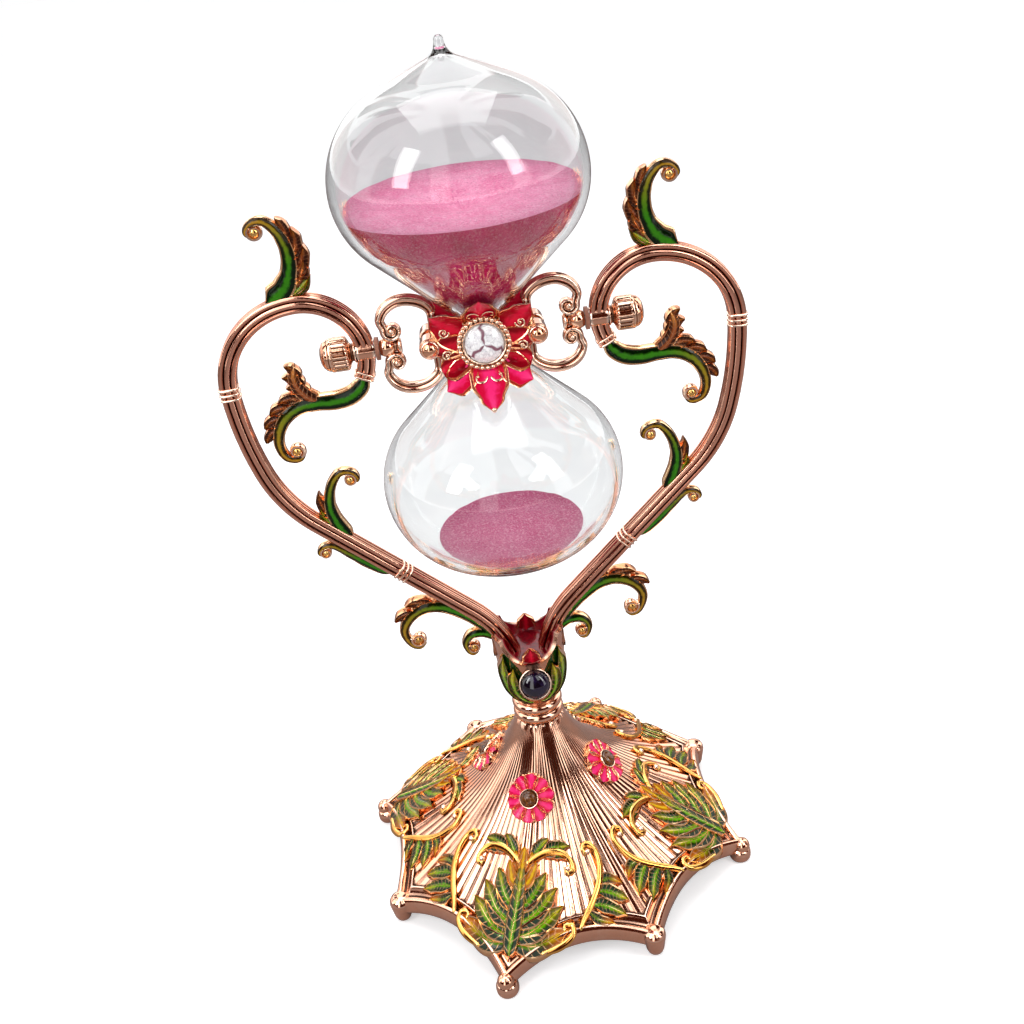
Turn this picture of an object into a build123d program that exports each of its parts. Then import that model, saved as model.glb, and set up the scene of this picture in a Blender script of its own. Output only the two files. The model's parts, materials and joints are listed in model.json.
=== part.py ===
from build123d import *
import math
import os

# Ornamental heart-frame hourglass, built as separate pieces.
#
# The blown glass hangs at its waist between two scrolled arms that make a heart.
# It turns end over end about the X axis, held by two thumb nuts inside the arms.
# The arms stand in a tulip cup on a fluted, umbrella-shaped base.
# Units are millimetres, +Z is up, and the origin is on the floor under the middle of the base.
# The front of the hourglass faces -Y.

# ---------------------------------------------------------------- driving sizes
# Glass
glass_lean = 7.0            # the glass stands leaned back by this angle
neck_radius = 3.6
bulb_radius = 31.2
bulb_length = 63.4          # from the waist to the round end of a bulb
nub_stem = 0.15             # straight part of the sealed tip above its flared foot
nub_radius = 1.2
neck_half_length = 1.4
neck_fillet = 4.0
cone_angle = 48.0           # from the axis
shoulder_curve = 21.8       # from the cone up to the widest ring
crown_turn = 60.0           # first part of the turn from the widest ring to the pole
nub_lift_off = 8.0          # turn past the crown where the flank of the nub leaves the bulb
nub_fillet = 3.6
glass_wall = 1.7
bore_radius = 0.9
orifice_length = 2.4
sand_gap = 0.2
upper_sand_height = 34.0    # level of the sand above the waist
lower_sand_depth = 6.3      # sand that has run through, from the bottom of the lower bulb
crater_radius = 15.0
crater_depth = 3.5

# Flower clamp round the waist
cushion_wall = 0.5
cushion_length = 7.0
saddle_wall = 1.0
saddle_length = 7.6
split_gap = 0.4             # between the front and the back half
clamp_web_half_width = 4.0
plate_wall = 1.8
petal_top = 11.6            # reach of the upper middle petal
petal_bottom = 15.0
petal_knee = 5.4            # height where the petals start to bend forward
petal_half_width = 4.9
wing_reach = 15.2
wing_angle = 34.0           # the two upper side petals, from the pivot axis
lower_petal_reach = 14.6
lower_petal_angle = 42.8
petal_clearance = 0.5       # from petal to glass
tab_radius = 2.6
clamp_screw_reach = 13.2    # clamp screw, sideways from the axis
clamp_screw_radius = 1.1
clamp_head_radius = 2.1
clamp_head_rise = 1.7
clamp_nut_rise = 2.3
clamp_screw_end = 1.1       # thread that stands out of the back plate into the cap nut
bezel_radius = 6.6
bezel_wall = 1.6
bead_radius = 0.55
bead_count = 28
bead_overhang = 0.12        # the beads stand this much outside the bezel
crystal_radius = 4.8
crystal_depth = 2.4
crystal_bed = 0.6           # floor of the bezel under the crystal

# Scroll brackets, pivots and thumb nuts
bracket_half_width = 1.25
bracket_half_depth = 1.8
bracket_web = 2.4           # width of the web, which stays inwards of the clamp screw
bracket_rise = 7.0
bracket_peak = 3.6          # top of a C-scroll above its root
volute_radius = 2.4
volute_angle = 116.0        # place of a volute on the pivot ball
volute_sink = 0.3           # the volute runs into the ball by this much
pivot_ball_radius = 2.4
pivot_ball_flat = 0.6       # cut off the ball where the washer seats
stud_radius = 1.6
stud_root = 2.5             # depth of the stud's blind hole in the ball
fit_clearance = 0.06
seat_gap = 0.05
running_gap = 0.25
washer_radius = 2.9
washer_wall = 0.9
nut_neck_radius = 2.7
nut_neck_length = 1.8
nut_radius = 4.3
nut_length = 4.8
nut_dome = 2.3
nut_dome_radius = 4.0
nut_wall = 0.6              # metal left over the end of the stud
nut_grooves = 24
groove_radius = 0.33

# Heart arms
arm_half_width = 2.25
arm_half_depth = 2.1
arm_core_inset = 0.6        # the flat core of the bar lies this much inside its reeds
reed_radius = 0.92
loop_inner_radius = 14.6
loop_outer_radius = 20.5
loop_reach = 29.2           # centre line of the arm where the pivot passes
loop_end_turn = 31.0
shoulder_radius = 90.0
shoulder_turn = 15.0
hip_radius = 38.0
hip_turn = 31.0
ankle_radius = 34.0
ankle_turn = 27.0
ankle_length = 4.2
arm_foot_reach = 4.5        # centre line of the arm at its foot in the cup
foot_trim = 1.2             # end of the bar that is cut flat on the floor of the cup
lower_band_share = 0.541    # place of the lower band along the straight flank
ring_wall = 0.9
ring_pitch = 1.35
ring_proud = 0.4
boss_radius = 2.6
leaf_depth = 3.3            # front to back thickness of the cast leaves
lobe_depth = 2.4

# Tulip cup and collar
collar_radius = 7.5
collar_ring_radius = 1.75
collar_height = 7.2
cup_foot_radius = 6.4
cup_belly_radius = 9.2
cup_belly_height = 5.8      # above the foot of the cup
cup_radius = 10.2
cup_waist_height = 14.0     # where the cup reaches its radius
cup_lip_flare = 0.6
cup_height = 25.4
cup_floor_height = 17.0     # floor of the cup above its foot
cup_wall = 1.7
cup_notch_radius = 8.0
cup_notch_rise = 1.0        # centre of the round notch above the lip
cup_petal_half_width = 3.4
cup_petal_height = 6.0      # point of the middle petal above the floor of the cup
cup_petal_wall = 1.6
tenon_radius = 1.5
tenon_length = 5.0
gem_radius = 3.9
gem_height = 72.5
gem_tilt = 25.0             # the gems look up by this angle
gem_dome = 2.2
gem_girdle = 0.8
gem_rim = 0.8
gem_seat_proud = 1.6        # the seat stands this much out of the cup
gem_seat_depth = 4.2

# Base
base_turn = -20.6           # the base is turned against the heart by this angle
ball_tip_reach = 60.4
plain_tip_reach = 57.6
scallop_reach = 49.5
dome_top = 53.0
dome_top_radius = 7.0
dome_knee_radius = 18.0     # the flowers sit on this ring
dome_knee_height = 34.6
dome_waist_radius = 32.0
dome_waist_height = 22.0
hem_height = 3.6            # surface of the dome at its outermost ring
hem_overrun = 3.2           # the dome is drawn this far past the ball tips before it is trimmed
dome_wall = 2.6             # measured straight down
rim_width = 4.8
tip_inset_ratio = 1.55      # the rim is this much wider along a tip
rim_rise = 0.9
rim_drop = 1.6
ball_radius = 3.0
ball_flat = 0.3             # ground off under each ball
ball_inset = 1.4            # centre of a ball inwards of its tip
nose_radius = 3.3
nose_inset = 2.7            # centre of a nose inwards of its plain tip
nose_tip_radius = 2.2
nose_lift = 0.8             # a plain tip ends this much above the floor
base_boss_radius = 6.0
base_boss_depth = 11.0
base_boss_sink = 0.5
base_screw_radius = 2.0
base_screw_bite = 9.8       # thread in the foot of the cup
base_hole_clearance = 0.2
base_screw_head = 3.5
base_screw_head_height = 2.6
base_washer_radius = 4.8
base_washer_wall = 1.0
leaf_relief = 2.2
spray_relief = 1.5
relief_margin = 0.4         # between the ornament, the rim and the flowers
flower_radius = 7.1
flower_relief = 1.6         # measured square to the dome
flower_petals = 10
petal_overlap = 1.12        # the petals are this much larger than petals that only touch
stone_radius = 2.5
stone_collar = 0.7
stone_lift = 0.7
stone_dome = 1.6

# ---------------------------------------------------------------- places that follow
cup_foot_z = dome_top + collar_height
cup_floor_z = cup_foot_z + cup_floor_height
cup_top_z = cup_foot_z + cup_height
cup_inner_radius = cup_radius - cup_wall
gem_face = cup_radius + gem_seat_proud
arm_inner_face = loop_reach - arm_half_width
arm_outer_face = loop_reach + arm_half_width
washer_face = arm_inner_face - running_gap - washer_wall
pivot_ball_reach = washer_face - seat_gap - pivot_ball_radius + pivot_ball_flat
nut_face = arm_outer_face + running_gap
nut_body_face = nut_face + nut_neck_length
nut_end_face = nut_body_face + nut_length
base_washer_top = dome_top - base_boss_depth - seat_gap
base_screw_seat = base_washer_top - base_washer_wall - seat_gap
base_screw_top = cup_foot_z + base_screw_bite
stone_seat = flower_relief + stone_lift

os.makedirs("parts", exist_ok=True)


def sin(angle):
    return math.sin(math.radians(angle))


def cos(angle):
    return math.cos(math.radians(angle))


def save(name, shape):
    """Write one named node."""
    shape.label = name
    export_step(shape, f"parts/{name}.step")


def save_pair(stem, shape):
    """Write a right-hand piece and its mirror image."""
    save(f"{stem}_right", shape)
    save(f"{stem}_left", mirror(shape, about=Plane.YZ))


def revolved(*edges):
    """Revolve a closed outline in the XZ plane about the Z axis."""
    return revolve(make_face([Plane.XZ * e for e in edges]), Axis.Z)


def box_between(x0, x1, y0, y1, z0, z1):
    """A box from its two corners."""
    return Pos((x0 + x1) / 2, (y0 + y1) / 2, (z0 + z1) / 2) * Box(x1 - x0, y1 - y0, z1 - z0)


def x_cylinder(radius, x0, x1, height=0.0, y=0.0):
    """A cylinder along X between two places."""
    return Pos((x0 + x1) / 2, y, height) * Rot(0, 90, 0) * Cylinder(radius, x1 - x0)


def y_cylinder(radius, y0, y1, x=0.0, height=0.0):
    """A cylinder along Y between two places."""
    return Pos(x, (y0 + y1) / 2, height) * Rot(90, 0, 0) * Cylinder(radius, y1 - y0)


def z_cylinder(radius, z0, z1, x=0.0, y=0.0):
    """An upright cylinder between two heights."""
    return Pos(x, y, (z0 + z1) / 2) * Cylinder(radius, z1 - z0)


def dome_cap(radius, rise):
    """The cap of a ball: flat side at height 0, top at height rise."""
    ball = (radius * radius + rise * rise) / (2 * rise)
    return Pos(0, 0, rise - ball) * Sphere(ball) & z_cylinder(radius, 0, rise + 1)


def ribbon(stations):
    """A flat outline round a curved spine: stations are (x, y, half width)."""
    left, right = [], []
    last = len(stations) - 1
    for i, (x, y, half) in enumerate(stations):
        before, after = stations[max(i - 1, 0)], stations[min(i + 1, last)]
        dx, dy = after[0] - before[0], after[1] - before[1]
        run = math.hypot(dx, dy)
        left.append((x - dy / run * half, y + dx / run * half))
        right.append((x + dy / run * half, y - dx / run * half))
    ends = [Line(left[-1], right[-1]), Line(right[0], left[0])]
    return make_face([Spline(left), ends[0], Spline(right[::-1]), ends[1]])


def leaflet(base, tip, bulge):
    """A lens-shaped leaf outline from base to tip."""
    mx, my = (base[0] + tip[0]) / 2, (base[1] + tip[1]) / 2
    dx, dy = tip[0] - base[0], tip[1] - base[1]
    run = math.hypot(dx, dy)
    one = ThreePointArc(base, (mx - dy / run * bulge, my + dx / run * bulge), tip)
    two = ThreePointArc(tip, (mx + dy / run * bulge, my - dx / run * bulge), base)
    return make_face([one, two])


def polar(reach, angle):
    """Flat point at a distance and an angle."""
    return (reach * cos(angle), reach * sin(angle))


def upright_plate(outline, depth):
    """Give an outline in the XZ plane its thickness, half to the front and half to the back."""
    return extrude(Plane.XZ * outline, depth / 2, both=True)


# ---------------------------------------------------------------- plane curves
def upright_point(start, direction, radius, turn):
    """End point and direction of a flat arc: turn is positive to the left."""
    sense = 1 if turn > 0 else -1
    a, b = math.radians(direction), math.radians(direction + turn)
    x = start[0] + sense * radius * (math.sin(b) - math.sin(a))
    y = start[1] - sense * radius * (math.cos(b) - math.cos(a))
    return (x, y), direction + turn


def arc_chain(start, direction, steps):
    """Tangent arcs and straights: a step is (radius, turn), or (0, length) for a straight."""
    edges = []
    for radius, amount in steps:
        if radius:
            heading = (math.cos(math.radians(direction)), math.sin(math.radians(direction)))
            edges.append(JernArc(start=start, tangent=heading, radius=radius, arc_size=amount))
            start, direction = upright_point(start, direction, radius, amount)
        else:
            end = (start[0] + amount * math.cos(math.radians(direction)),
                   start[1] + amount * math.sin(math.radians(direction)))
            edges.append(Line(start, end))
            start = end
    return edges, start, direction


def swept(edges, section):
    """Sweep a section, drawn with its x across the plate, along a chain in the XZ plane."""
    path = Wire([Plane.XZ * e for e in edges])
    plane = Plane(origin=path @ 0, x_dir=(0, 1, 0), z_dir=path % 0)
    return sweep(plane * section, path=path)


# ---------------------------------------------------------------- glass and sand
# The bulb swells from the neck along a cone, turns up through its widest ring and closes in two arcs.
cone_run = ((bulb_radius - neck_radius - (neck_fillet + shoulder_curve) * (1 - cos(cone_angle)))
            / sin(cone_angle))
equator_height = (neck_half_length + (neck_fillet + shoulder_curve) * sin(cone_angle)
                  + cone_run * cos(cone_angle))
crown_rise = bulb_length - equator_height
crown_curve = ((bulb_radius * (1 - sin(crown_turn)) - crown_rise * cos(crown_turn))
               / ((1 - cos(crown_turn)) * (1 - sin(crown_turn)) - sin(crown_turn) * cos(crown_turn)))
pole_curve = (bulb_radius - crown_curve * (1 - cos(crown_turn))) / cos(crown_turn)
nub_slope = crown_turn + nub_lift_off


def glass_radius(height):
    """Outside radius of the glass at a height above the waist, up to the end of the cone."""
    climb = height - neck_half_length
    if climb <= 0:
        return neck_radius
    if climb < neck_fillet * sin(cone_angle):
        return neck_radius + neck_fillet - math.sqrt(neck_fillet ** 2 - climb ** 2)
    foot = neck_radius + neck_fillet * (1 - cos(cone_angle))
    return foot + (climb - neck_fillet * sin(cone_angle)) * math.tan(math.radians(cone_angle))


def bulb_curve(inset):
    """Half profile of a bulb from the waist to its round end, drawn inwards by inset."""
    steps = ((0, neck_half_length), (neck_fillet + inset, -cone_angle), (0, cone_run),
             (shoulder_curve - inset, cone_angle), (crown_curve - inset, crown_turn),
             (pole_curve - inset, 90 - crown_turn))
    edges, _, _ = arc_chain((neck_radius - inset, 0), 90, steps)
    return edges


def bulb_pair(inset):
    """Both bulbs with the waist between them, as one solid of revolution."""
    upper = bulb_curve(inset)
    lower = [mirror(edge, about=Plane.XZ) for edge in upper]
    end = bulb_length - inset
    return revolved(*upper, *lower, Line((0, end), (0, -end)))


def glass_nub():
    """The drawn-out sealed tip on top of the upper bulb."""
    (crown_x, crown_z), _ = upright_point((bulb_radius, equator_height), 90, crown_curve, crown_turn)
    start, heading = upright_point((crown_x, crown_z), 90 + crown_turn, pole_curve, nub_lift_off)
    slope_run = (start[0] - nub_radius - nub_fillet * (1 - cos(nub_slope))) / sin(nub_slope)
    steps = ((0, slope_run), (nub_fillet, -nub_slope))
    edges, foot, _ = arc_chain(start, heading, steps)
    stem_end = (nub_radius, foot[1] + nub_stem)
    top = stem_end[1] + nub_radius
    stem = Line(foot, stem_end)
    cap = JernArc(start=stem_end, tangent=(0, 1), radius=nub_radius, arc_size=90)
    return revolved(*edges, stem, cap, Line((0, top), (0, crown_z)), Line((0, crown_z), start))


def carried(shape):
    """Place a piece that was drawn upright about the waist into the leaned glass."""
    return Pos(0, 0, pivot_height) * Rot(-glass_lean, 0, 0) * shape


def glass_space(inset):
    """The hollow of the glass drawn inwards by inset, pinched at the waist by the orifice."""
    pinch = orifice_length + 2 * inset - 2 * glass_wall
    bore = Cylinder(bore_radius + glass_wall - inset, pinch + 1)
    return bulb_pair(inset) - (Cylinder(neck_radius, pinch) - bore)


def make_glass():
    return carried(bulb_pair(0.0) + glass_nub() - glass_space(glass_wall))


def make_sand():
    """Both heaps of sand lie level, whatever the lean of the glass."""
    filled = carried(glass_space(glass_wall + sand_gap))
    reach = 2 * bulb_radius
    upper_level = pivot_height + upper_sand_height
    lower_level = pivot_height - bulb_length + glass_wall + lower_sand_depth
    lean_shift = sin(glass_lean) * upper_sand_height
    upper = filled & box_between(-reach, reach, -reach, reach, pivot_height, upper_level)
    crater = Pos(0, lean_shift, upper_level - crater_depth / 2) * Cone(1.0, crater_radius, crater_depth)
    lower = filled & box_between(-reach, reach, -reach, reach, lower_level - bulb_length, lower_level)
    return upper - crater, lower


# ---------------------------------------------------------------- flower clamp at the waist
cushion_radius = neck_radius + cushion_wall


def make_cushion():
    """Soft sleeve round the neck, shaped to the glass."""
    return carried(Cylinder(cushion_radius, cushion_length) - bulb_pair(-seat_gap))


plate_back = glass_radius(petal_knee) + petal_clearance
plate_front = plate_back + plate_wall
clamp_face = plate_front + seat_gap


def petal_profile():
    """Side view of the flower plate: flat at the middle, its tips bent forward along the bulbs."""
    heights = (0.0, petal_knee, (petal_knee + petal_bottom) / 2, petal_bottom + 1.0)
    back = [(-glass_radius(max(h, petal_knee)) - petal_clearance, h) for h in heights]
    front = [(y - plate_wall, h) for y, h in back]
    half = make_face(Polyline(*back, *front[::-1], close=True))
    return half + mirror(half, about=Plane.XZ)


def flower_outline():
    """Front view of the flower: top and bottom petals, four side petals and two screw tabs."""
    outline = Circle(bezel_radius + 1.2)
    petals = [(90, petal_top), (-90, petal_bottom)]
    for side in (0, 180):
        petals += [(abs(side - wing_angle), wing_reach), (-abs(side - lower_petal_angle), lower_petal_reach)]
    for angle, length in petals:
        outline += leaflet((0, 0), polar(length, angle), petal_half_width)
    for side in (-1, 1):
        outline += Pos(side * clamp_screw_reach, 0) * Circle(tab_radius)
        outline += Pos(side * clamp_screw_reach / 2, 0) * Rectangle(clamp_screw_reach, 2 * tab_radius)
    return outline


def make_flower():
    """Front half of the clamp: the flower plate with its saddle, bezel seat and two screw bosses."""
    sheet = extrude(Plane.YZ * petal_profile(), clamp_screw_reach + 2 * tab_radius, both=True)
    plate = sheet & extrude(Plane.XZ * flower_outline(), 2 * bulb_radius)
    saddle = Cylinder(cushion_radius + saddle_wall, saddle_length)
    saddle &= box_between(-20, 20, -20, -split_gap / 2, -20, 20)
    web = box_between(-clamp_web_half_width, clamp_web_half_width, -plate_front, -cushion_radius,
                      -saddle_length / 2, saddle_length / 2)
    flower = plate + saddle + web + y_cylinder(bezel_radius - bead_radius, -plate_front, -plate_back)
    flower -= y_cylinder(bezel_radius + bead_radius, -2 * bulb_radius, -plate_front)
    for side in (-1, 1):
        x = side * clamp_screw_reach
        flower += y_cylinder(tab_radius, -plate_front, -bracket_half_depth - seat_gap, x)
        flower -= y_cylinder(clamp_screw_radius + fit_clearance, -2 * bulb_radius, 0, x)
    flower -= Cylinder(cushion_radius + seat_gap, saddle_length + 2)
    return flower - bulb_pair(-petal_clearance / 2)


def make_bezel():
    """Cup that holds the crystal, with a ring of beads round it."""
    face = clamp_face + bezel_wall
    rim = y_cylinder(bezel_radius, -face, -clamp_face)
    rim -= y_cylinder(crystal_radius + fit_clearance, -face - 1, -clamp_face - crystal_bed)
    for i in range(bead_count):
        x, z = polar(bezel_radius - bead_radius + bead_overhang, 360 * i / bead_count)
        rim += Pos(x, -face, z) * Sphere(bead_radius)
    return rim


def make_crystal():
    """Round brilliant: girdle, sloping crown facets and a table."""
    girdle = 0.55 * crystal_depth
    crown = loft([RegularPolygon(crystal_radius, 8), Pos(0, 0, crystal_depth - girdle) *
                  RegularPolygon(crystal_radius * 0.6, 8)])
    stone = z_cylinder(crystal_radius, 0, girdle) + Pos(0, 0, girdle) * crown
    return Pos(0, -clamp_face - crystal_bed - seat_gap, 0) * Rot(90, 0, 0) * stone


def make_clamp_screws():
    """Two screws from front to back through both flower halves, with domed heads."""
    screws = []
    for side in (-1, 1):
        x = side * clamp_screw_reach
        head = Pos(x, -clamp_face, 0) * Rot(90, 0, 0) * dome_cap(clamp_head_radius, clamp_head_rise)
        start, end = -clamp_face - clamp_head_rise / 2, clamp_face + clamp_screw_end
        shaft = y_cylinder(clamp_screw_radius, start, end, x)
        screws.append(shaft + head)
    return screws


def make_clamp_nuts():
    """Domed cap nuts on the back ends of the clamp screws."""
    nuts = []
    for side in (-1, 1):
        x = side * clamp_screw_reach
        cap = Pos(x, clamp_face, 0) * Rot(-90, 0, 0) * dome_cap(clamp_head_radius, clamp_nut_rise)
        bore_end = clamp_face + clamp_screw_end + seat_gap
        nuts.append(cap - y_cylinder(clamp_screw_radius + fit_clearance, 0, bore_end, x))
    return nuts


# ---------------------------------------------------------------- scroll brackets and pivots
def make_bracket():
    """Right-hand bracket: two C-scrolls, a web with the screw hole and the pivot ball."""
    eye_x, eye_z = polar(pivot_ball_radius + volute_radius - volute_sink, volute_angle)
    eye_x += pivot_ball_reach
    web_edge, top = clamp_screw_reach + 0.4, bracket_rise + bracket_peak
    root = web_edge - bracket_web / 2
    middle = (root + eye_x) / 2
    scroll = upright_plate(ribbon([
        (root, bracket_rise - 1.0, bracket_half_width), (root + 1.2, bracket_rise + 2.0, bracket_half_width),
        (middle, top, bracket_half_width),
        (eye_x - 1.0, eye_z + volute_radius + 2.4, bracket_half_width),
        (eye_x + 0.8, eye_z + 1.2, bracket_half_width * 0.8)]), 2 * bracket_half_depth)
    scroll += Pos(eye_x, 0, eye_z) * Sphere(volute_radius)
    web = box_between(web_edge - bracket_web, web_edge, -bracket_half_depth, bracket_half_depth,
                      -bracket_rise, bracket_rise)
    web += y_cylinder(tab_radius, -bracket_half_depth, bracket_half_depth, clamp_screw_reach)
    bracket = scroll + mirror(scroll, about=Plane.XY) + web
    bracket += Pos(pivot_ball_reach, 0, 0) * Sphere(pivot_ball_radius)
    hole_end = pivot_ball_reach + pivot_ball_radius
    bracket -= x_cylinder(stud_radius + fit_clearance, washer_face - stud_root, hole_end)
    bracket -= x_cylinder(2 * pivot_ball_radius, washer_face - seat_gap, hole_end + 1)
    bracket -= y_cylinder(clamp_screw_radius + fit_clearance, -9, 9, clamp_screw_reach)
    return bracket - bulb_pair(-petal_clearance / 2)


def make_stud():
    """Threaded pivot stud from the pivot ball out through the arm."""
    return x_cylinder(stud_radius, washer_face - stud_root + seat_gap, nut_end_face - nut_wall)


def make_friction_washer():
    ring = x_cylinder(washer_radius, washer_face, washer_face + washer_wall)
    return ring - x_cylinder(stud_radius + fit_clearance, 0, arm_inner_face)


def make_thumb_nut():
    """Knurled acorn nut with a slim neck that presses on the arm."""
    nut = x_cylinder(nut_neck_radius, nut_face, nut_body_face)
    nut += x_cylinder(nut_radius, nut_body_face, nut_end_face)
    nut += Pos(nut_end_face, 0, 0) * Rot(0, 90, 0) * dome_cap(nut_dome_radius, nut_dome)
    groove = x_cylinder(groove_radius, nut_body_face - 0.1, nut_end_face + 0.1)
    for i in range(nut_grooves):
        nut -= Rot(360 * i / nut_grooves, 0, 0) * Pos(0, 0, nut_radius) * groove
    return nut - x_cylinder(stud_radius + fit_clearance, 0, nut_end_face - nut_wall + seat_gap)


# ---------------------------------------------------------------- heart arms
# The flank is as long as the arm needs to come down in the cup, and that sets the height of the pivot.
arm_fall = ((loop_outer_radius, -90), (shoulder_radius, -shoulder_turn), (hip_radius, -hip_turn))
arm_ankle = ((ankle_radius, ankle_turn), (0, ankle_length))
flank_angle = -90 - shoulder_turn - hip_turn
_, hip_end, _ = arc_chain((loop_reach + loop_inner_radius, loop_inner_radius), 0, arm_fall)
_, ankle_end, _ = arc_chain(hip_end, flank_angle, arm_ankle)
flank_length = (ankle_end[0] - arm_foot_reach) / -cos(flank_angle)
pivot_height = cup_floor_z - foot_trim - ankle_end[1] - flank_length * sin(flank_angle)


def arm_route():
    """Centre line from the curled end inside the loop, over the top and down into the cup."""
    (x0, z0), heading = upright_point((loop_reach, pivot_height), -90, loop_inner_radius, loop_end_turn)
    steps = ((loop_inner_radius, -loop_end_turn - 90), *arm_fall, (0, flank_length), *arm_ankle)
    return arc_chain((x0, z0), heading + 180, steps)


def arm_section():
    """Reeded bar: three round reeds side by side on the front and on the back."""
    core = (2 * (arm_half_depth - arm_core_inset), 2 * (arm_half_width - arm_core_inset / 3))
    section = RectangleRounded(*core, arm_core_inset)
    for side in (-1, 1):
        for row in (-1, 0, 1):
            across, along = side * (arm_half_depth - reed_radius), row * (arm_half_width - reed_radius)
            section += Pos(across, along) * Circle(reed_radius)
    return section


def arm_rings(point, direction, count):
    """Raised rings round the bar at a place on its route."""
    heading = (cos(direction), 0, sin(direction))
    plane = Plane(origin=(point[0], 0, point[1]), x_dir=(0, 1, 0), z_dir=heading)
    size = (2 * (arm_half_depth + ring_proud), 2 * (arm_half_width + ring_proud))
    rings = Part()
    for i in range(count):
        offset = (i - (count - 1) / 2) * ring_pitch - ring_wall / 2
        rings += extrude(plane.offset(offset) * RectangleRounded(*size, 1.6), ring_wall)
    return rings


def route_places():
    """Points on the arm's route, by name, with the direction of travel there."""
    edges, _, _ = arm_route()
    spots = {
        "end": (edges[0] @ 0, 90 + loop_end_turn),
        "collar": (edges[0] @ 0.05, 90 + loop_end_turn - 6),
        "loop_top": (edges[1] @ 0, 0.0),
        "upper_band": (edges[2] @ 0, -90.0),
        "lower_band": (edges[4] @ lower_band_share, flank_angle),
        "ankle": (edges[5] @ 1, flank_angle + ankle_turn),
    }
    return {name: (spot.X, spot.Y, angle) for name, (spot, angle) in spots.items()}


def make_arm():
    edges, _, _ = arm_route()
    places = route_places()
    arm = swept(edges, arm_section())
    for name, count in (("collar", 2), ("upper_band", 3), ("lower_band", 3)):
        x, z, direction = places[name]
        arm += arm_rings((x, z), direction, count)
    arm += x_cylinder(boss_radius, arm_inner_face, arm_outer_face, pivot_height)
    arm -= box_between(-20, 60, -20, 20, cup_floor_z - 30, cup_floor_z + seat_gap)
    arm -= box_between(-20, seat_gap, -20, 20, 0, cup_top_z)
    arm += z_cylinder(tenon_radius, cup_floor_z - tenon_length, cup_floor_z + tenon_radius, arm_foot_reach)
    return arm - x_cylinder(stud_radius + fit_clearance, 0, 2 * arm_outer_face, pivot_height)


def cast_leaf(spine, lobes, balls):
    """One cast leaf: a ribbon with a curl, side lobes and round volute ends."""
    leaf = upright_plate(ribbon(spine), leaf_depth)
    for base, tip, bulge in lobes:
        leaf += upright_plate(leaflet(base, tip, bulge), lobe_depth)
    for x, z, radius in balls:
        leaf += Pos(x, 0, z) * Sphere(radius)
    return leaf


def crest_leaf(arm):
    """Leaf that stands on the loop and curls outwards at its top."""
    x, z, _ = route_places()["loop_top"]
    spine = [(x + 3.0, z + 2.2, 5.6), (x + 0.2, z + 5.0, 3.0), (x - 1.6, z + 9.0, 2.3),
             (x - 1.7, z + 14.0, 2.1), (x - 0.2, z + 18.6, 1.8), (x + 2.6, z + 21.2, 1.4),
             (x + 5.2, z + 20.8, 1.2), (x + 6.2, z + 19.0, 1.0)]
    lobes = [((x + 1.0, z + 2.6), (x - 4.6, z + 10.4), 2.2), ((x - 0.6, z + 7.8), (x - 4.4, z + 15.4), 1.7),
             ((x - 1.2, z + 13.4), (x - 2.6, z + 20.0), 1.4)]
    return cast_leaf(spine, lobes, [(x + 5.4, z + 19.0, 2.3)]) - arm


def inner_leaf(arm):
    """Leaf that grows from the curled end of the arm and forks inside the heart."""
    x, z, _ = route_places()["end"]
    spine = [(x - 0.4, z + 0.8, 1.9), (x + 1.2, z - 1.9, 2.4), (x + 3.6, z - 3.6, 2.3), (x + 7.4, z - 4.4, 2.2),
             (x + 12.2, z - 4.2, 2.2), (x + 16.7, z - 4.6, 2.1), (x + 20.5, z - 6.6, 2.0),
             (x + 23.2, z - 10.2, 1.8), (x + 24.2, z - 14.6, 1.6), (x + 23.0, z - 18.2, 1.4),
             (x + 20.2, z - 18.8, 1.2)]
    fork = [(x + 11.4, z - 4.8, 2.4), (x + 14.4, z - 2.0, 2.0), (x + 16.4, z + 1.6, 1.7),
            (x + 16.2, z + 6.6, 0.4)]
    lobes = [((x + 14.2, z - 1.8), (x + 19.8, z + 1.6), 1.5), ((x + 15.2, z + 0.2), (x + 18.2, z + 4.8), 1.3),
             ((x + 17.4, z - 4.6), (x + 23.6, z - 5.2), 1.4), ((x + 21.4, z - 7.2), (x + 26.6, z - 9.4), 1.4),
             ((x + 23.2, z - 10.2), (x + 27.0, z - 13.6), 1.2)]
    leaf = cast_leaf(spine, lobes, [(x + 19.6, z - 16.6, 2.3)])
    return leaf + upright_plate(ribbon(fork), leaf_depth) - arm


def mid_scroll(arm):
    """Scroll pair half way down: a tall curl inside the heart and a small one outside."""
    x, z, _ = route_places()["lower_band"]
    spine = [(x + 12.6, z + 14.6, 2.6), (x + 14.6, z + 19.0, 2.1), (x + 15.4, z + 24.0, 1.7),
             (x + 14.2, z + 29.6, 1.5), (x + 11.2, z + 33.6, 1.3), (x + 7.8, z + 32.6, 1.1)]
    lobes = [((x + 14.4, z + 17.6), (x + 18.6, z + 27.4), 1.6)]
    tall = cast_leaf(spine, lobes, [(x + 8.8, z + 31.2, 2.1)])
    small_spine = [(x + 3.8, z + 0.8, 1.1), (x + 8.4, z + 4.4, 1.6), (x + 13.0, z + 8.6, 1.6),
                   (x + 16.8, z + 11.6, 1.4), (x + 19.2, z + 11.6, 1.1)]
    small = cast_leaf(small_spine, [], [(x + 19.4, z + 10.0, 1.9)])
    return [tall - arm, small - arm]


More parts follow.
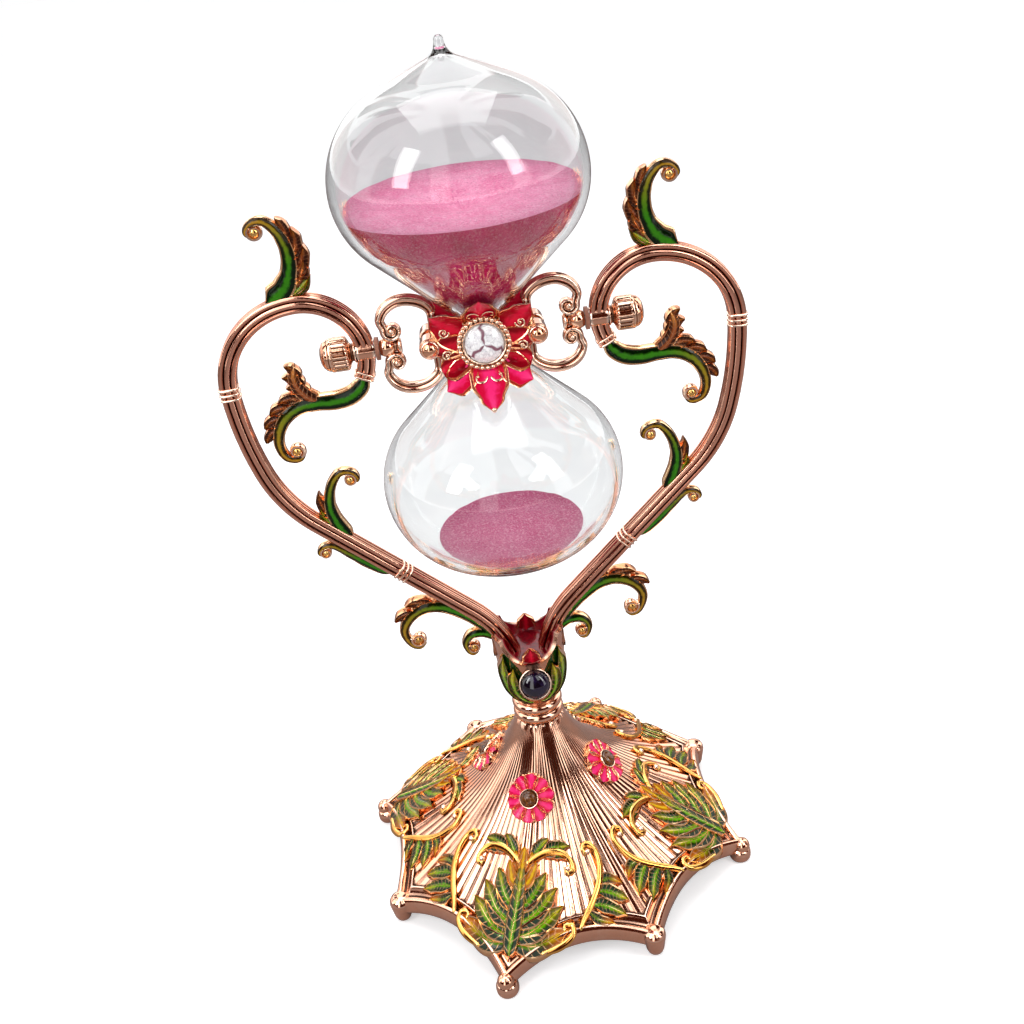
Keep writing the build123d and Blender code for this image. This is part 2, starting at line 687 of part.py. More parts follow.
def lower_scroll(arm, cup):
    """Scroll that springs from the cup and runs under the arm, with a small curl beside it."""
    x, z, _ = route_places()["ankle"]
    spine = [(x + 2.6, z + 2.6, 1.6), (x + 6.6, z + 8.4, 1.8), (x + 11.2, z + 13.0, 1.9),
             (x + 16.8, z + 16.4, 1.9), (x + 21.8, z + 16.6, 2.0), (x + 26.2, z + 14.0, 1.9),
             (x + 28.6, z + 10.0, 1.6), (x + 28.0, z + 6.2, 1.3)]
    lobes = [((x + 20.0, z + 16.0), (x + 27.6, z + 17.2), 1.4),
             ((x + 24.6, z + 14.2), (x + 30.6, z + 12.2), 1.3)]
    long_one = cast_leaf(spine, lobes, [(x + 25.0, z + 5.6, 2.7)])
    small_spine = [(x + 2.2, z + 2.4, 1.5), (x + 6.4, z + 5.2, 1.5), (x + 10.2, z + 5.0, 1.5),
                   (x + 11.8, z + 2.0, 1.2)]
    small = cast_leaf(small_spine, [], [(x + 9.8, z + 0.2, 2.4)])
    return (long_one + small) - arm - cup


# ---------------------------------------------------------------- cup and collar
def make_collar():
    """Two rounded rings on a short tube, between base and cup."""
    tube = z_cylinder(collar_radius - collar_ring_radius, dome_top + seat_gap, cup_foot_z)
    for row in (-1, 1):
        height = dome_top + collar_height / 2 + row * collar_ring_radius
        tube += Pos(0, 0, height) * Torus(collar_radius - collar_ring_radius, collar_ring_radius)
    return tube - z_cylinder(base_screw_radius + fit_clearance, 0, cup_top_z)


def cup_petal():
    """Pointed petal that stands in the middle of the front and of the back of the cup."""
    foot, tip = cup_floor_z - 2.0, cup_floor_z + cup_petal_height
    half, shoulder = cup_petal_half_width, (foot + tip) / 2
    return make_face(Polyline((-half, foot), (half, foot), (0.4 * half, shoulder), (0, tip),
                              (-0.4 * half, shoulder), (-half, foot)))


def gem_place(side):
    """Frame on the face of the gem seat, front or back, its z axis looking out and up."""
    return Pos(0, side * gem_face, gem_height) * Rot(side * (gem_tilt - 90), 0, 0)


def make_cup():
    """Tulip cup: solid foot, hollow mouth, slotted for the arms, a gem seat front and back."""
    foot, lip_radius = cup_foot_z + seat_gap, cup_radius + cup_lip_flare
    flank = Spline((cup_foot_radius, foot), (cup_belly_radius, cup_foot_z + cup_belly_height),
                   (cup_radius, cup_foot_z + cup_waist_height), (lip_radius, cup_top_z))
    mouth = (lip_radius - cup_wall, cup_top_z)
    inner = Spline(mouth, (cup_inner_radius, (cup_floor_z + cup_top_z) / 2),
                   (cup_inner_radius - cup_lip_flare, cup_floor_z))
    cup = revolved(Line((0, foot), (cup_foot_radius, foot)), flank, Line((lip_radius, cup_top_z), mouth), inner,
                   Line((cup_inner_radius - cup_lip_flare, cup_floor_z), (0, cup_floor_z)),
                   Line((0, cup_floor_z), (0, foot)))
    cup -= y_cylinder(cup_notch_radius, -30, 30, 0, cup_top_z + cup_notch_rise)
    slot = arm_half_depth + running_gap
    cup -= box_between(-30, 30, -slot, slot, cup_floor_z, cup_top_z + 1)
    for side in (-1, 1):
        cup += Pos(0, side * cup_inner_radius, 0) * upright_plate(cup_petal(), cup_petal_wall)
        cup += gem_place(side) * z_cylinder(gem_radius + gem_rim, -gem_seat_depth, 0)
        cup -= gem_place(side) * z_cylinder(gem_radius + fit_clearance, -gem_rim, gem_seat_depth)
        cup -= z_cylinder(tenon_radius + fit_clearance, cup_floor_z - tenon_length - running_gap,
                          cup_floor_z + 1, side * arm_foot_reach)
    return cup - z_cylinder(base_screw_radius + fit_clearance, 0, base_screw_top + running_gap)


def make_gem():
    """Dark cabochon in the front of the cup."""
    stone = z_cylinder(gem_radius, 0, gem_girdle) + Pos(0, 0, gem_girdle) * dome_cap(gem_radius, gem_dome)
    return gem_place(-1) * Pos(0, 0, seat_gap - gem_rim) * stone


# ---------------------------------------------------------------- base
def dome_curve(lift):
    """Radial profile of the base, steep at the collar and flatter at the hem, raised by lift."""
    rings = ((dome_top_radius, dome_top), (dome_knee_radius, dome_knee_height),
             (dome_waist_radius, dome_waist_height), (ball_tip_reach + hem_overrun, hem_height))
    points = [(r, z + lift) for r, z in rings]
    return Spline(points), points[0], points[-1]


def dome_layer(low, high):
    """The layer between two lifts of the dome profile, closed across the middle."""
    under, under_top, under_hem = dome_curve(low)
    over, over_top, over_hem = dome_curve(high)
    return revolved(under, Line(under_hem, over_hem), over, Line(over_top, (0, over_top[1])),
                    Line((0, over_top[1]), (0, under_top[1])), Line((0, under_top[1]), under_top))


def dome_height(reach):
    """Height of the dome's surface at a distance from the axis."""
    curve, _, _ = dome_curve(0.0)
    return curve.intersect(Line((reach, -1), (reach, dome_top + 1)))[0].Y


def hem_outline(inset):
    """Plan of the base: eight hollow scallops between four ball tips and four plain tips."""
    arcs = []
    for k in range(8):
        near, far = (ball_tip_reach, plain_tip_reach) if k % 2 == 0 else (plain_tip_reach, ball_tip_reach)
        start = polar(near - inset * tip_inset_ratio, 45 * k)
        end = polar(far - inset * tip_inset_ratio, 45 * (k + 1))
        arcs.append(ThreePointArc(start, polar(scallop_reach - inset, 45 * k + 22.5), end))
    return make_face(arcs)


def make_base_shell():
    """Umbrella-shaped shell with its raised rim, ball feet, plain noses and the screw boss."""
    hem = extrude(hem_outline(0.0), 2 * dome_top)
    field = extrude(hem_outline(rim_width), 2 * dome_top)
    shell = dome_layer(-dome_wall, 0.0) & field
    shell += (dome_layer(-dome_wall - rim_drop, rim_rise) & hem) - field
    nose_x = plain_tip_reach - nose_inset
    nose_top = dome_height(nose_x) - rim_rise
    nose = Cone(nose_tip_radius, nose_radius, nose_top - nose_lift)
    nose = Pos(nose_x, 0, (nose_lift + nose_top) / 2) * nose
    nose += Pos(nose_x, 0, nose_top) * Sphere(nose_radius)
    ball = Pos(ball_tip_reach - ball_inset, 0, ball_radius - ball_flat) * Sphere(ball_radius)
    for k in range(4):
        shell += Rot(0, 0, 90 * k) * ball + Rot(0, 0, 90 * k + 45) * nose
    shell &= box_between(-90, 90, -90, 90, 0, 2 * dome_top)
    shell += z_cylinder(base_boss_radius, dome_top - base_boss_depth, dome_top - base_boss_sink)
    shell -= z_cylinder(base_screw_radius + base_hole_clearance, 0, 2 * dome_top)
    return Rot(0, 0, base_turn) * shell


ornament_inner = dome_knee_radius + flower_radius + relief_margin
ball_field = ball_tip_reach - rim_width * tip_inset_ratio
plain_field = plain_tip_reach - rim_width * tip_inset_ratio


def ornament(outline, relief):
    """Relief of a plan outline on the dome, inside the rim."""
    inside = outline & hem_outline(rim_width + relief_margin)
    return dome_layer(seat_gap, relief) & extrude(inside, 2 * dome_top)


def in_field(outer, points):
    """Place (share, side, ...) points between the flowers and the rim: share 0 is inside, 1 at the rim."""
    return [(ornament_inner + share * (outer - ornament_inner), *rest) for share, *rest in points]


def base_leaf_outline():
    """Plan of the large leaf at a ball tip, its bud, and the two tendrils beside the bud."""
    outline = ribbon(in_field(ball_field, [(1.04, 0, 1.6), (0.90, 0, 5.0), (0.74, 0, 6.2), (0.55, 0, 5.0),
                                           (0.40, 0, 3.2), (0.27, 0, 2.2)]))
    (bud_x, bud_y), = in_field(ball_field, [(0.21, 0.0)])
    outline += Pos(bud_x, bud_y) * Circle(2.4)
    for side in (-1, 1):
        for base, tip, bulge in (((0.86, side * 3.0), (0.66, side * 16.4), 2.6),
                                 ((0.68, side * 2.0), (0.40, side * 11.2), 2.0),
                                 ((0.49, side * 1.0), (0.33, side * 6.0), 1.5),
                                 ((0.11, side * 4.8), (-0.05, side * 7.6), 1.3),
                                 ((0.07, side * 8.8), (-0.03, side * 14.8), 1.5)):
            outline += leaflet(*in_field(ball_field, [base, tip]), bulge)
        outline += ribbon(in_field(ball_field, [(0.185, side * 1.6, 0.7), (0.10, side * 5.6, 0.7),
                                                (0.055, side * 10.6, 0.7), (0.105, side * 14.6, 0.7),
                                                (0.20, side * 14.4, 0.7)]))
    return outline


def base_spray_outline():
    """Plan of one S-shaped tendril with its leaf, beside a plain tip."""
    outline = ribbon(in_field(plain_field, [(0.70, 16.8, 0.8), (0.64, 12.4, 0.8), (0.55, 7.6, 0.8),
                                            (0.44, 3.6, 0.8), (0.29, 2.2, 0.8), (0.18, 3.4, 0.7)]))
    leaf_root = (0.59, 9.0)
    outline += leaflet(*in_field(plain_field, [leaf_root, (0.86, 2.4)]), 1.9)
    return outline + leaflet(*in_field(plain_field, [leaf_root, (0.71, 1.6)]), 1.4)


def make_spray_pair():
    """Two mirrored tendrils, one on each side of a plain tip."""
    spray = base_spray_outline()
    halves = (Rot(0, 0, 45) * spray, Rot(0, 0, 45) * mirror(spray, about=Plane.XZ))
    return [ornament(half, spray_relief) for half in halves]


def flower_place():
    """Frame on the knee of the dome where a flower sits, its z axis square to the surface."""
    curve, _, _ = dome_curve(0.0)
    fall = curve.tangent_at(curve.param_at_point(Vector(dome_knee_radius, dome_knee_height)))
    normal = (-fall.Y, 0, fall.X)
    origin = (dome_knee_radius, 0, dome_knee_height)
    return Plane(origin=origin, x_dir=(0, 1, 0), z_dir=normal).location, fall.X


def make_base_flower():
    """Ten round petals about a raised centre, curved to the dome."""
    half_step = math.sin(math.pi / flower_petals)
    petal_radius = petal_overlap * flower_radius * half_step / (1 + half_step)
    outline = Circle(flower_radius - petal_radius)
    for k in range(flower_petals):
        outline += Pos(*polar(flower_radius - petal_radius, 360 * k / flower_petals)) * Circle(petal_radius)
    place, level_share = flower_place()
    body = place * extrude(outline, 2 * flower_radius, both=True)
    collar = place * z_cylinder(stone_radius + stone_collar, -stone_radius, stone_seat)
    flower = dome_layer(seat_gap, flower_relief / level_share) & body
    return flower + (collar - dome_layer(-dome_top, seat_gap))


def make_flower_stone():
    place, _ = flower_place()
    return place * Pos(0, 0, stone_seat + seat_gap) * dome_cap(stone_radius, stone_dome)


def make_base_screw():
    """Screw from under the base up into the cup."""
    head_face = base_screw_seat - base_screw_head_height
    shaft = z_cylinder(base_screw_radius, base_screw_seat, base_screw_top)
    head = z_cylinder(base_screw_head, head_face, base_screw_seat)
    slot_width, slot_depth = 1.0, 1.1
    slot = box_between(-base_screw_head, base_screw_head, -slot_width / 2, slot_width / 2, head_face - 1,
                       head_face + slot_depth)
    return shaft + head - slot


def make_base_washer():
    ring = z_cylinder(base_washer_radius, base_washer_top - base_washer_wall, base_washer_top)
    return ring - z_cylinder(base_screw_radius + base_hole_clearance, 0, dome_top)


# ---------------------------------------------------------------- write all nodes
glass = make_glass()
save("glass", glass)
sand_upper, sand_lower = make_sand()
save("sand_upper", sand_upper)
save("sand_lower", sand_lower)
save("neck_cushion", make_cushion())

flower_front = make_flower()
half_turn = Rot(0, 0, 180)
for stem, piece in (("flower_clamp", flower_front), ("bezel", make_bezel()), ("crystal", make_crystal())):
    save(f"{stem}_front", carried(piece))
    save(f"{stem}_back", carried(half_turn * piece))
save("clamp_screws", Compound(children=[carried(s) for s in make_clamp_screws()]))
save("clamp_nuts", Compound(children=[carried(s) for s in make_clamp_nuts()]))

for stem, piece in (("scroll_bracket", make_bracket()), ("pivot_stud", make_stud()),
                    ("friction_washer", make_friction_washer()), ("thumb_nut", make_thumb_nut())):
    save(f"{stem}_right", carried(piece))
    save(f"{stem}_left", carried(mirror(piece, about=Plane.YZ)))

arm = make_arm()
cup = make_cup()
save_pair("heart_arm", arm)
save_pair("crest_leaf", crest_leaf(arm))
save_pair("inner_leaf", inner_leaf(arm))
scrolls = mid_scroll(arm)
save_pair("mid_scroll", scrolls[0])
save_pair("outer_scroll", scrolls[1])
save_pair("lower_scroll", lower_scroll(arm, cup))
save("tulip_cup", cup)
save("neck_collar", make_collar())
gem = make_gem()
save("cup_gem_front", gem)
save("cup_gem_back", half_turn * gem)

save("base_shell", make_base_shell())
base_leaf, base_sprays = ornament(base_leaf_outline(), leaf_relief), make_spray_pair()
base_flower, flower_stone = make_base_flower(), make_flower_stone()
for k in range(4):
    turned = Rot(0, 0, base_turn + 90 * k)
    save(f"base_leaf_{k + 1}", turned * base_leaf)
    save(f"base_spray_{k + 1}", Compound(children=[turned * spray for spray in base_sprays]))
    save(f"base_flower_{k + 1}", turned * base_flower)
    save(f"flower_stone_{k + 1}", turned * flower_stone)
save("base_screw", make_base_screw())
save("base_washer", make_base_washer())
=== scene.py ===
import json
from math import atan2, cos, degrees, hypot, pi, radians, sin, sqrt

import bpy
import numpy as np
from mathutils import Matrix, Vector
from mathutils.bvhtree import BVHTree
from mathutils.noise import noise as noise3

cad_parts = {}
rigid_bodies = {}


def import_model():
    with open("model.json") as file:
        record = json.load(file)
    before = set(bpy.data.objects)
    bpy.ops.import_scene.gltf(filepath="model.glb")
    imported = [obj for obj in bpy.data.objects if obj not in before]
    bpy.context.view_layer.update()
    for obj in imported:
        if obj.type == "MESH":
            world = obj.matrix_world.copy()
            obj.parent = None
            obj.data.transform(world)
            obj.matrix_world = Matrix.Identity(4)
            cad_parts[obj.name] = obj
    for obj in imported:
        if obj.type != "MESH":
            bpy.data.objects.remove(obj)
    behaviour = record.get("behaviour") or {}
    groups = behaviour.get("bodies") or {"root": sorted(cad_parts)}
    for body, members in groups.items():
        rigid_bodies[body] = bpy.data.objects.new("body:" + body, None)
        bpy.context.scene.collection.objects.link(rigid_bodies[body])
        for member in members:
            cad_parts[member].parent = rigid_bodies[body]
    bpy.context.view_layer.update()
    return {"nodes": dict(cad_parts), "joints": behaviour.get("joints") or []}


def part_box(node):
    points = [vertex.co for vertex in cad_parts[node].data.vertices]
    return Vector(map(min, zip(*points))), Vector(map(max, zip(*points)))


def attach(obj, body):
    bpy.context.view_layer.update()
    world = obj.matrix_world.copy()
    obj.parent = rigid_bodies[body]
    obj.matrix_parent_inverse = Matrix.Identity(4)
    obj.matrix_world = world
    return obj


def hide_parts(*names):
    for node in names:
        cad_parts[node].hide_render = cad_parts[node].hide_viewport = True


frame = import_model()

print("nodes in the frame:", len(frame["nodes"]))

# %% [markdown]
# An ornamental hourglass in five families of pieces: blown glass and sand, a jewelled clamp at the
# waist, two reeded heart arms with cast leaves, a tulip cup, and a fluted umbrella-shaped base.
# All of it is swept, turned or petal-shaped, so almost every piece can start as a flat grid whose
# points are carried on to the real surface. The grid keeps its UV map, and the finishes read it to
# know where the raised metal edge ends and the enamel begins.

# %% Measures
MM = 0.001
PIVOT = Vector(next(j["pos_m"] for j in frame["joints"] if j["name"] == "glass_turn")) / MM
GLASS_LEAN = radians(7.0)
CUP_LOW, CUP_HIGH = (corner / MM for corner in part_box("tulip_cup"))
print("pivot height", round(PIVOT.z, 1), "mm; cup from", round(CUP_LOW.z, 1), "to", round(CUP_HIGH.z, 1))

# %% [markdown]
# Small helpers come first. A list of numbers is read as a smooth run, a few points become a dense
# smooth path, and a walk along that path gives a place and a direction for any share of its length.

# %% Runs and paths
def mix(a, b, share):
    return a + (b - a) * share


def read_run(values, share):
    """Read a short list as a run from its first to its last value."""
    if isinstance(values, (int, float)):
        return values
    place = min(max(share, 0.0), 1.0) * (len(values) - 1)
    i = min(int(place), len(values) - 2)
    ease = place - i
    return mix(values[i], values[i + 1], ease * ease * (3 - 2 * ease))


def smooth(points, steps=10):
    """Catmull-Rom path through a few flat points."""
    knots = [2 * Vector(points[0]) - Vector(points[1]), *map(Vector, points),
             2 * Vector(points[-1]) - Vector(points[-2])]
    path = []
    for a, b, c, d in zip(knots, knots[1:], knots[2:], knots[3:]):
        for i in range(steps):
            t = i / steps
            path.append(0.5 * ((2 * b) + (c - a) * t + (2 * a - 5 * b + 4 * c - d) * t * t
                               + (3 * b - a - 3 * c + d) * t ** 3))
    return path + [knots[-2]]


def arcs(start, heading, steps):
    """Flat path of arcs and straights: a step is (radius, turn in degrees), or (0, length)."""
    path, place, angle = [Vector(start)], Vector(start), radians(heading)
    for radius, amount in steps:
        count = 6 if not radius else max(6, int(abs(amount) / 3))
        turn = radians(amount) / count if radius else 0.0
        length = 2 * radius * abs(sin(turn / 2)) if radius else amount / count
        for _ in range(count):
            angle += turn / 2
            place = place + length * Vector((cos(angle), sin(angle)))
            angle += turn / 2
            path.append(place)
    return path


def spiral(centre, start_radius, end_radius, start_angle, turn, count=18):
    """Points of a flat spiral, angles in degrees."""
    points = []
    for i in range(count + 1):
        angle = radians(start_angle + turn * i / count)
        radius = mix(start_radius, end_radius, i / count)
        points.append(Vector(centre) + radius * Vector((cos(angle), sin(angle))))
    return points


def walk(path):
    """A function from a share of the path's length to a place and a direction."""
    reach = [0.0]
    for a, b in zip(path, path[1:]):
        reach.append(reach[-1] + (b - a).length)

    known = {}

    def at(share):
        share = round(share, 5)
        if share not in known:
            length = share * reach[-1]
            i = next((k for k in range(1, len(reach) - 1) if reach[k] > length), len(reach) - 1)
            part = (length - reach[i - 1]) / max(reach[i] - reach[i - 1], 1e-9)
            before, after = path[max(i - 2, 0)], path[min(i + 1, len(path) - 1)]
            known[share] = mix(path[i - 1], path[i], part), (after - before).normalized()
        return known[share]

    at.length = reach[-1]
    return at

# %% [markdown]
# The one tool that makes the pieces: a grid primitive is added, each of its points is carried to
# its place on the real surface, and in edit mode the seams are merged and the normals made to point
# outwards. Doubles are merged at the poles and along closed seams, so every piece is a closed mesh.

# %% Grid tool
DOUBLES = 0.004


def alone(piece):
    bpy.ops.object.select_all(action="DESELECT")
    piece.select_set(True)
    bpy.context.view_layer.objects.active = piece


def close_up(piece):
    """Merge doubled points in edit mode and make the normals point outwards."""
    alone(piece)
    bpy.ops.object.mode_set(mode="EDIT")
    bpy.ops.mesh.select_all(action="SELECT")
    bpy.ops.mesh.remove_doubles(threshold=DOUBLES * MM)
    bpy.ops.mesh.normals_make_consistent(inside=False)
    bpy.ops.object.mode_set(mode="OBJECT")
    return piece


def grid(name, along, across, place):
    """A flat grid of faces whose points are carried to place(u, v), in millimetres."""
    bpy.ops.object.select_all(action="DESELECT")
    bpy.ops.mesh.primitive_grid_add(x_subdivisions=along, y_subdivisions=across, size=1)
    piece = bpy.context.object
    piece.name = name
    for vertex in piece.data.vertices:
        vertex.co = Vector(place(vertex.co.x + 0.5, vertex.co.y + 0.5)) * MM
    return close_up(piece)


def joined(name, pieces):
    """Join loose pieces into one named piece."""
    alone(pieces[0])
    for piece in pieces:
        piece.select_set(True)
    bpy.ops.object.join()
    pieces[0].name = pieces[0].data.name = name
    return pieces[0]


def moved(piece, matrix):
    """Carry a piece's points by a matrix in millimetres, keeping its object at the origin."""
    scale = Matrix.Scale(MM, 4)
    piece.data.transform(scale @ matrix @ scale.inverted())
    if matrix.determinant() < 0:
        piece.data.flip_normals()
    return piece


def copy_of(piece, name, matrix):
    """A copy with its own mesh, carried by a matrix in millimetres."""
    twin = piece.copy()
    twin.data = piece.data.copy()
    twin.name = twin.data.name = name
    bpy.context.scene.collection.objects.link(twin)
    return moved(twin, matrix)


def shift(x, y, z):
    return Matrix.Translation(Vector((x, y, z)))


def rotation(angle, axis):
    return Matrix.Rotation(angle, 4, axis)


MIRROR_X = Matrix.Scale(-1, 4, Vector((1, 0, 0)))
FORWARD, SIDEWAYS = rotation(pi / 2, "X"), rotation(pi / 2, "Y")
LEAN = Matrix.Translation(PIVOT) @ rotation(-GLASS_LEAN, "X")

# %% [markdown]
# Cast metal of this kind is either a bundle of round reeds or a blade with a raised edge. Both are
# closed sections swept along a path. The blade is hollowed between its edges, where the enamel lies.

# %% Sections
def bundle(circles, count):
    """Outline round a bundle of circles (across, out, radius), as seen from its middle."""
    outline = []
    for i in range(count):
        angle = 2 * pi * i / count
        way = Vector((cos(angle), sin(angle)))
        reach = 0.0
        for x, y, radius in circles:
            middle = Vector((x, y))
            inside = radius ** 2 - middle.length_squared + middle.dot(way) ** 2
            if inside >= 0:
                reach = max(reach, middle.dot(way) + sqrt(inside))
        outline.append(way * reach)
    return outline


def both_faces(front):
    """A closed section from its front half; the back half is the same, turned round."""
    return [Vector(p) for p in front] + [Vector((-x, -y)) for x, y in front]


BLADE = both_faces(((-1.0, 0.0), (-0.98, 0.72), (-0.9, 1.0), (-0.8, 0.6), (-0.5, 0.5), (-0.12, 0.62), (0.0, 0.85),
                    (0.12, 0.62), (0.5, 0.5), (0.8, 0.6), (0.9, 1.0), (0.98, 0.72)))
STEM = both_faces(((-1.0, 0.0), (-0.95, 0.5), (-0.86, 0.72), (-0.74, 0.66), (-0.5, 0.86), (-0.2, 1.0), (0.0, 1.04),
                   (0.2, 1.0), (0.5, 0.86), (0.74, 0.66), (0.86, 0.72), (0.95, 0.5)))
PETAL = both_faces(((-1.0, 0.0), (-0.99, 0.8), (-0.93, 1.0), (-0.84, 0.5), (-0.6, 0.36), (-0.25, 0.42), (0.0, 0.46),
                    (0.25, 0.42), (0.6, 0.36), (0.84, 0.5), (0.93, 1.0), (0.99, 0.8)))


def heart_plane(x, z, out):
    """A place in the upright plane of the heart, out towards the front."""
    return Vector((x, -out, z))


def sweep(name, path, section, widths, depths, surface=heart_plane, along=40, ends=0.04):
    """Sweep a closed section along a flat path that lies on a surface."""
    at = walk(path)
    count = len(section)

    def place(u, v):
        point, way = at(u)
        nearest_end = min(u, 1 - u)
        round_off = 1.0 if nearest_end >= ends else sqrt(max(0.0, 1 - (1 - nearest_end / ends) ** 2))
        side = section[round(v * count) % count]
        across = side.x * read_run(widths, u) * round_off
        out = side.y * read_run(depths, u) * round_off
        return surface(point.x + way.y * across, point.y - way.x * across, out)

    return grid(name, along, count, place)


def blade(name, points, widths, depths, surface=heart_plane, along=20, section=BLADE):
    """A cast leaf blade from its root to its tip, with raised edges and a middle vein."""
    return sweep(name, smooth(points), section, widths, depths, surface, along, ends=0.10)


def turned(name, profile, around, ripple=None, along=None):
    """A turned piece: profile is a list of (radius, height); ripple(angle, share) scales the radius."""
    at = walk([Vector(p) for p in profile])

    def place(u, v):
        point, _ = at(u)
        angle = 2 * pi * v
        radius = point.x * (ripple(angle, u) if ripple else 1.0)
        return radius * cos(angle), radius * sin(angle), point.y

    return grid(name, along or len(profile) * 2, around, place)


def ball(name, centre, radius, around=24):
    profile = [(radius * sin(a * pi / 16), -radius * cos(a * pi / 16)) for a in range(17)]
    return moved(turned(name, profile, around, along=16), Matrix.Translation(Vector(centre)))


print("blade, stem and petal sections:", len(BLADE), "points each")

# %% [markdown]
# Painted light and tarnish follow the relief: proud ridges get a painted highlight, and hollows get painted shade
# with tarnish. Each piece therefore stores one number per point, found by comparing the normal with the way to its
# neighbours. Positive is hollow, negative is proud, and the finishes read it as an attribute.

# %% Relief attribute
RELIEF_REACH, SMOOTH_UNDER = 0.6, radians(50)


def mark_relief(piece):
    """Store how hollow the surface is at each point, per RELIEF_REACH millimetres."""
    mesh = piece.data
    places, normals = np.empty((2, len(mesh.vertices), 3))
    mesh.vertices.foreach_get("co", places.ravel())
    mesh.vertices.foreach_get("normal", normals.ravel())
    ends = np.empty(len(mesh.edges) * 2, int)
    mesh.edges.foreach_get("vertices", ends)
    a, b = ends.reshape(-1, 2).T
    way = places[b] - places[a]
    length = np.maximum((way ** 2).sum(1), 1e-10)
    bend, share = np.zeros(len(places)), np.zeros(len(places))
    np.add.at(bend, a, (normals[a] * way).sum(1) / length)
    np.add.at(bend, b, -(normals[b] * way).sum(1) / length)
    np.add.at(share, np.concatenate((a, b)), 1)
    hollow = np.clip(bend / np.maximum(share, 1) * RELIEF_REACH * MM, -1, 1)
    for _ in range(2):
        around = np.zeros(len(places))
        np.add.at(around, a, hollow[b])
        np.add.at(around, b, hollow[a])
        hollow = 0.5 * hollow + 0.5 * around / np.maximum(share, 1)
    mesh.attributes.new("relief", "FLOAT", "POINT").data.foreach_set("value", hollow)


def finish(piece, body, nodes):
    """Smooth shading, relief, and the piece's place among the bodies and nodes of the CAD part."""
    alone(piece)
    bpy.ops.object.shade_smooth_by_angle(angle=SMOOTH_UNDER)
    mark_relief(piece)
    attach(piece, body)
    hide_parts(*nodes)
    print(piece.name, len(piece.data.polygons), "faces")
    return piece


def other_side(name):
    return name.replace("front", "back").replace("right", "left")


def finish_both(piece, body, node, twin_matrix, matrix=None):
    """Finish a piece and its twin on the other side, whose names follow from the piece's own."""
    twin = copy_of(piece, other_side(piece.name), twin_matrix)
    if matrix:
        moved(piece, matrix)
    finish(piece, body, [node])
    finish(twin, other_side(body), [other_side(node)])
    return piece, twin


def finish_round(*kinds):
    """Four finished copies round the base of each (piece, node, slot), whose slot is not used; the first pieces go.
    """
    for k in range(4):
        for piece, node, slot in kinds:
            turn = rotation(radians(90 * k), "Z")
            finish(copy_of(piece, f"{piece.name}_{k + 1}", turn), "stand", [f"{node}_{k + 1}"])
    for piece, _, _ in kinds:
        bpy.data.objects.remove(piece)


def flattened(*pieces):
    """Show every facet flat."""
    for piece in pieces:
        alone(piece)
        bpy.ops.object.shade_flat()


def painted(piece, material):
    piece.data.materials.clear()
    piece.data.materials.append(material)
    return piece

# %% [markdown]
# Finishes come next. An effect that several finishes share is one node group with named sockets. A
# small helper adds a node, sets it up and joins its inputs, so that a node tree reads as a recipe.

# %% Node helpers
def connect(tree, node, inputs):
    """Set a node's inputs: each is a plain value, or a socket to link from."""
    for key, value in inputs.items():
        if isinstance(value, bpy.types.NodeSocket):
            tree.links.new(value, node.inputs[key])
        else:
            node.inputs[key].default_value = value
    return node


def add(tree, kind, inputs=None, **settings):
    """Add a shader node with its settings and inputs."""
    made = tree.nodes.new("ShaderNode" + kind)
    for key, value in settings.items():
        setattr(made, key, value)
    return connect(tree, made, inputs or {})


def maths(tree, operation, *values, clamp=False):
    made = add(tree, "Math", dict(enumerate(values)), operation=operation, use_clamp=clamp)
    return made.outputs[0]


def times(tree, *values, clamp=False):
    return maths(tree, "MULTIPLY", *values, clamp=clamp)


def plus(tree, *values):
    return maths(tree, "ADD", *values)


def minus(tree, *values):
    return maths(tree, "SUBTRACT", *values)


def object_place(tree):
    """The piece's own coordinates."""
    return add(tree, "TexCoord").outputs["Object"]


def ramp(tree, value, low, high, to_low=0.0, to_high=1.0):
    """Smooth step from low to high."""
    limits = {"Value": value, "From Min": low, "From Max": high, "To Min": to_low, "To Max": to_high}
    return add(tree, "MapRange", limits, interpolation_type="SMOOTHSTEP").outputs[0]


def blend(tree, share, one, other):
    return add(tree, "Mix", {0: share, 6: one, 7: other}, data_type="RGBA").outputs[2]


def noise(tree, vector, scale, detail=2.0, roughness=0.5, distortion=0.0):
    """Noise whose scale is given per metre."""
    return add(tree, "TexNoise", {"Vector": vector, "Scale": scale, "Detail": detail, "Roughness": roughness,
                                  "Distortion": distortion}).outputs["Fac"]


def new_group(name, takes, gives):
    """A shader node group with named inputs and outputs."""
    tree = bpy.data.node_groups.new(name, "ShaderNodeTree")
    for label, kind, value in takes:
        socket = tree.interface.new_socket(label, in_out="INPUT", socket_type=kind)
        if value is not None:
            socket.default_value = value
    for label, kind in gives:
        tree.interface.new_socket(label, in_out="OUTPUT", socket_type=kind)
    return tree, tree.nodes.new("NodeGroupInput"), tree.nodes.new("NodeGroupOutput")


def use(tree, group, inputs):
    return connect(tree, add(tree, "Group", node_tree=group), inputs)


def rgb(red, green, blue):
    """Linear colour from the 0-255 values a paint chart gives."""
    def line(value):
        value /= 255
        return value / 12.92 if value <= 0.04045 else ((value + 0.055) / 1.055) ** 2.4
    return line(red), line(green), line(blue), 1.0


FLOAT, COLOUR = "NodeSocketFloat", "NodeSocketColor"
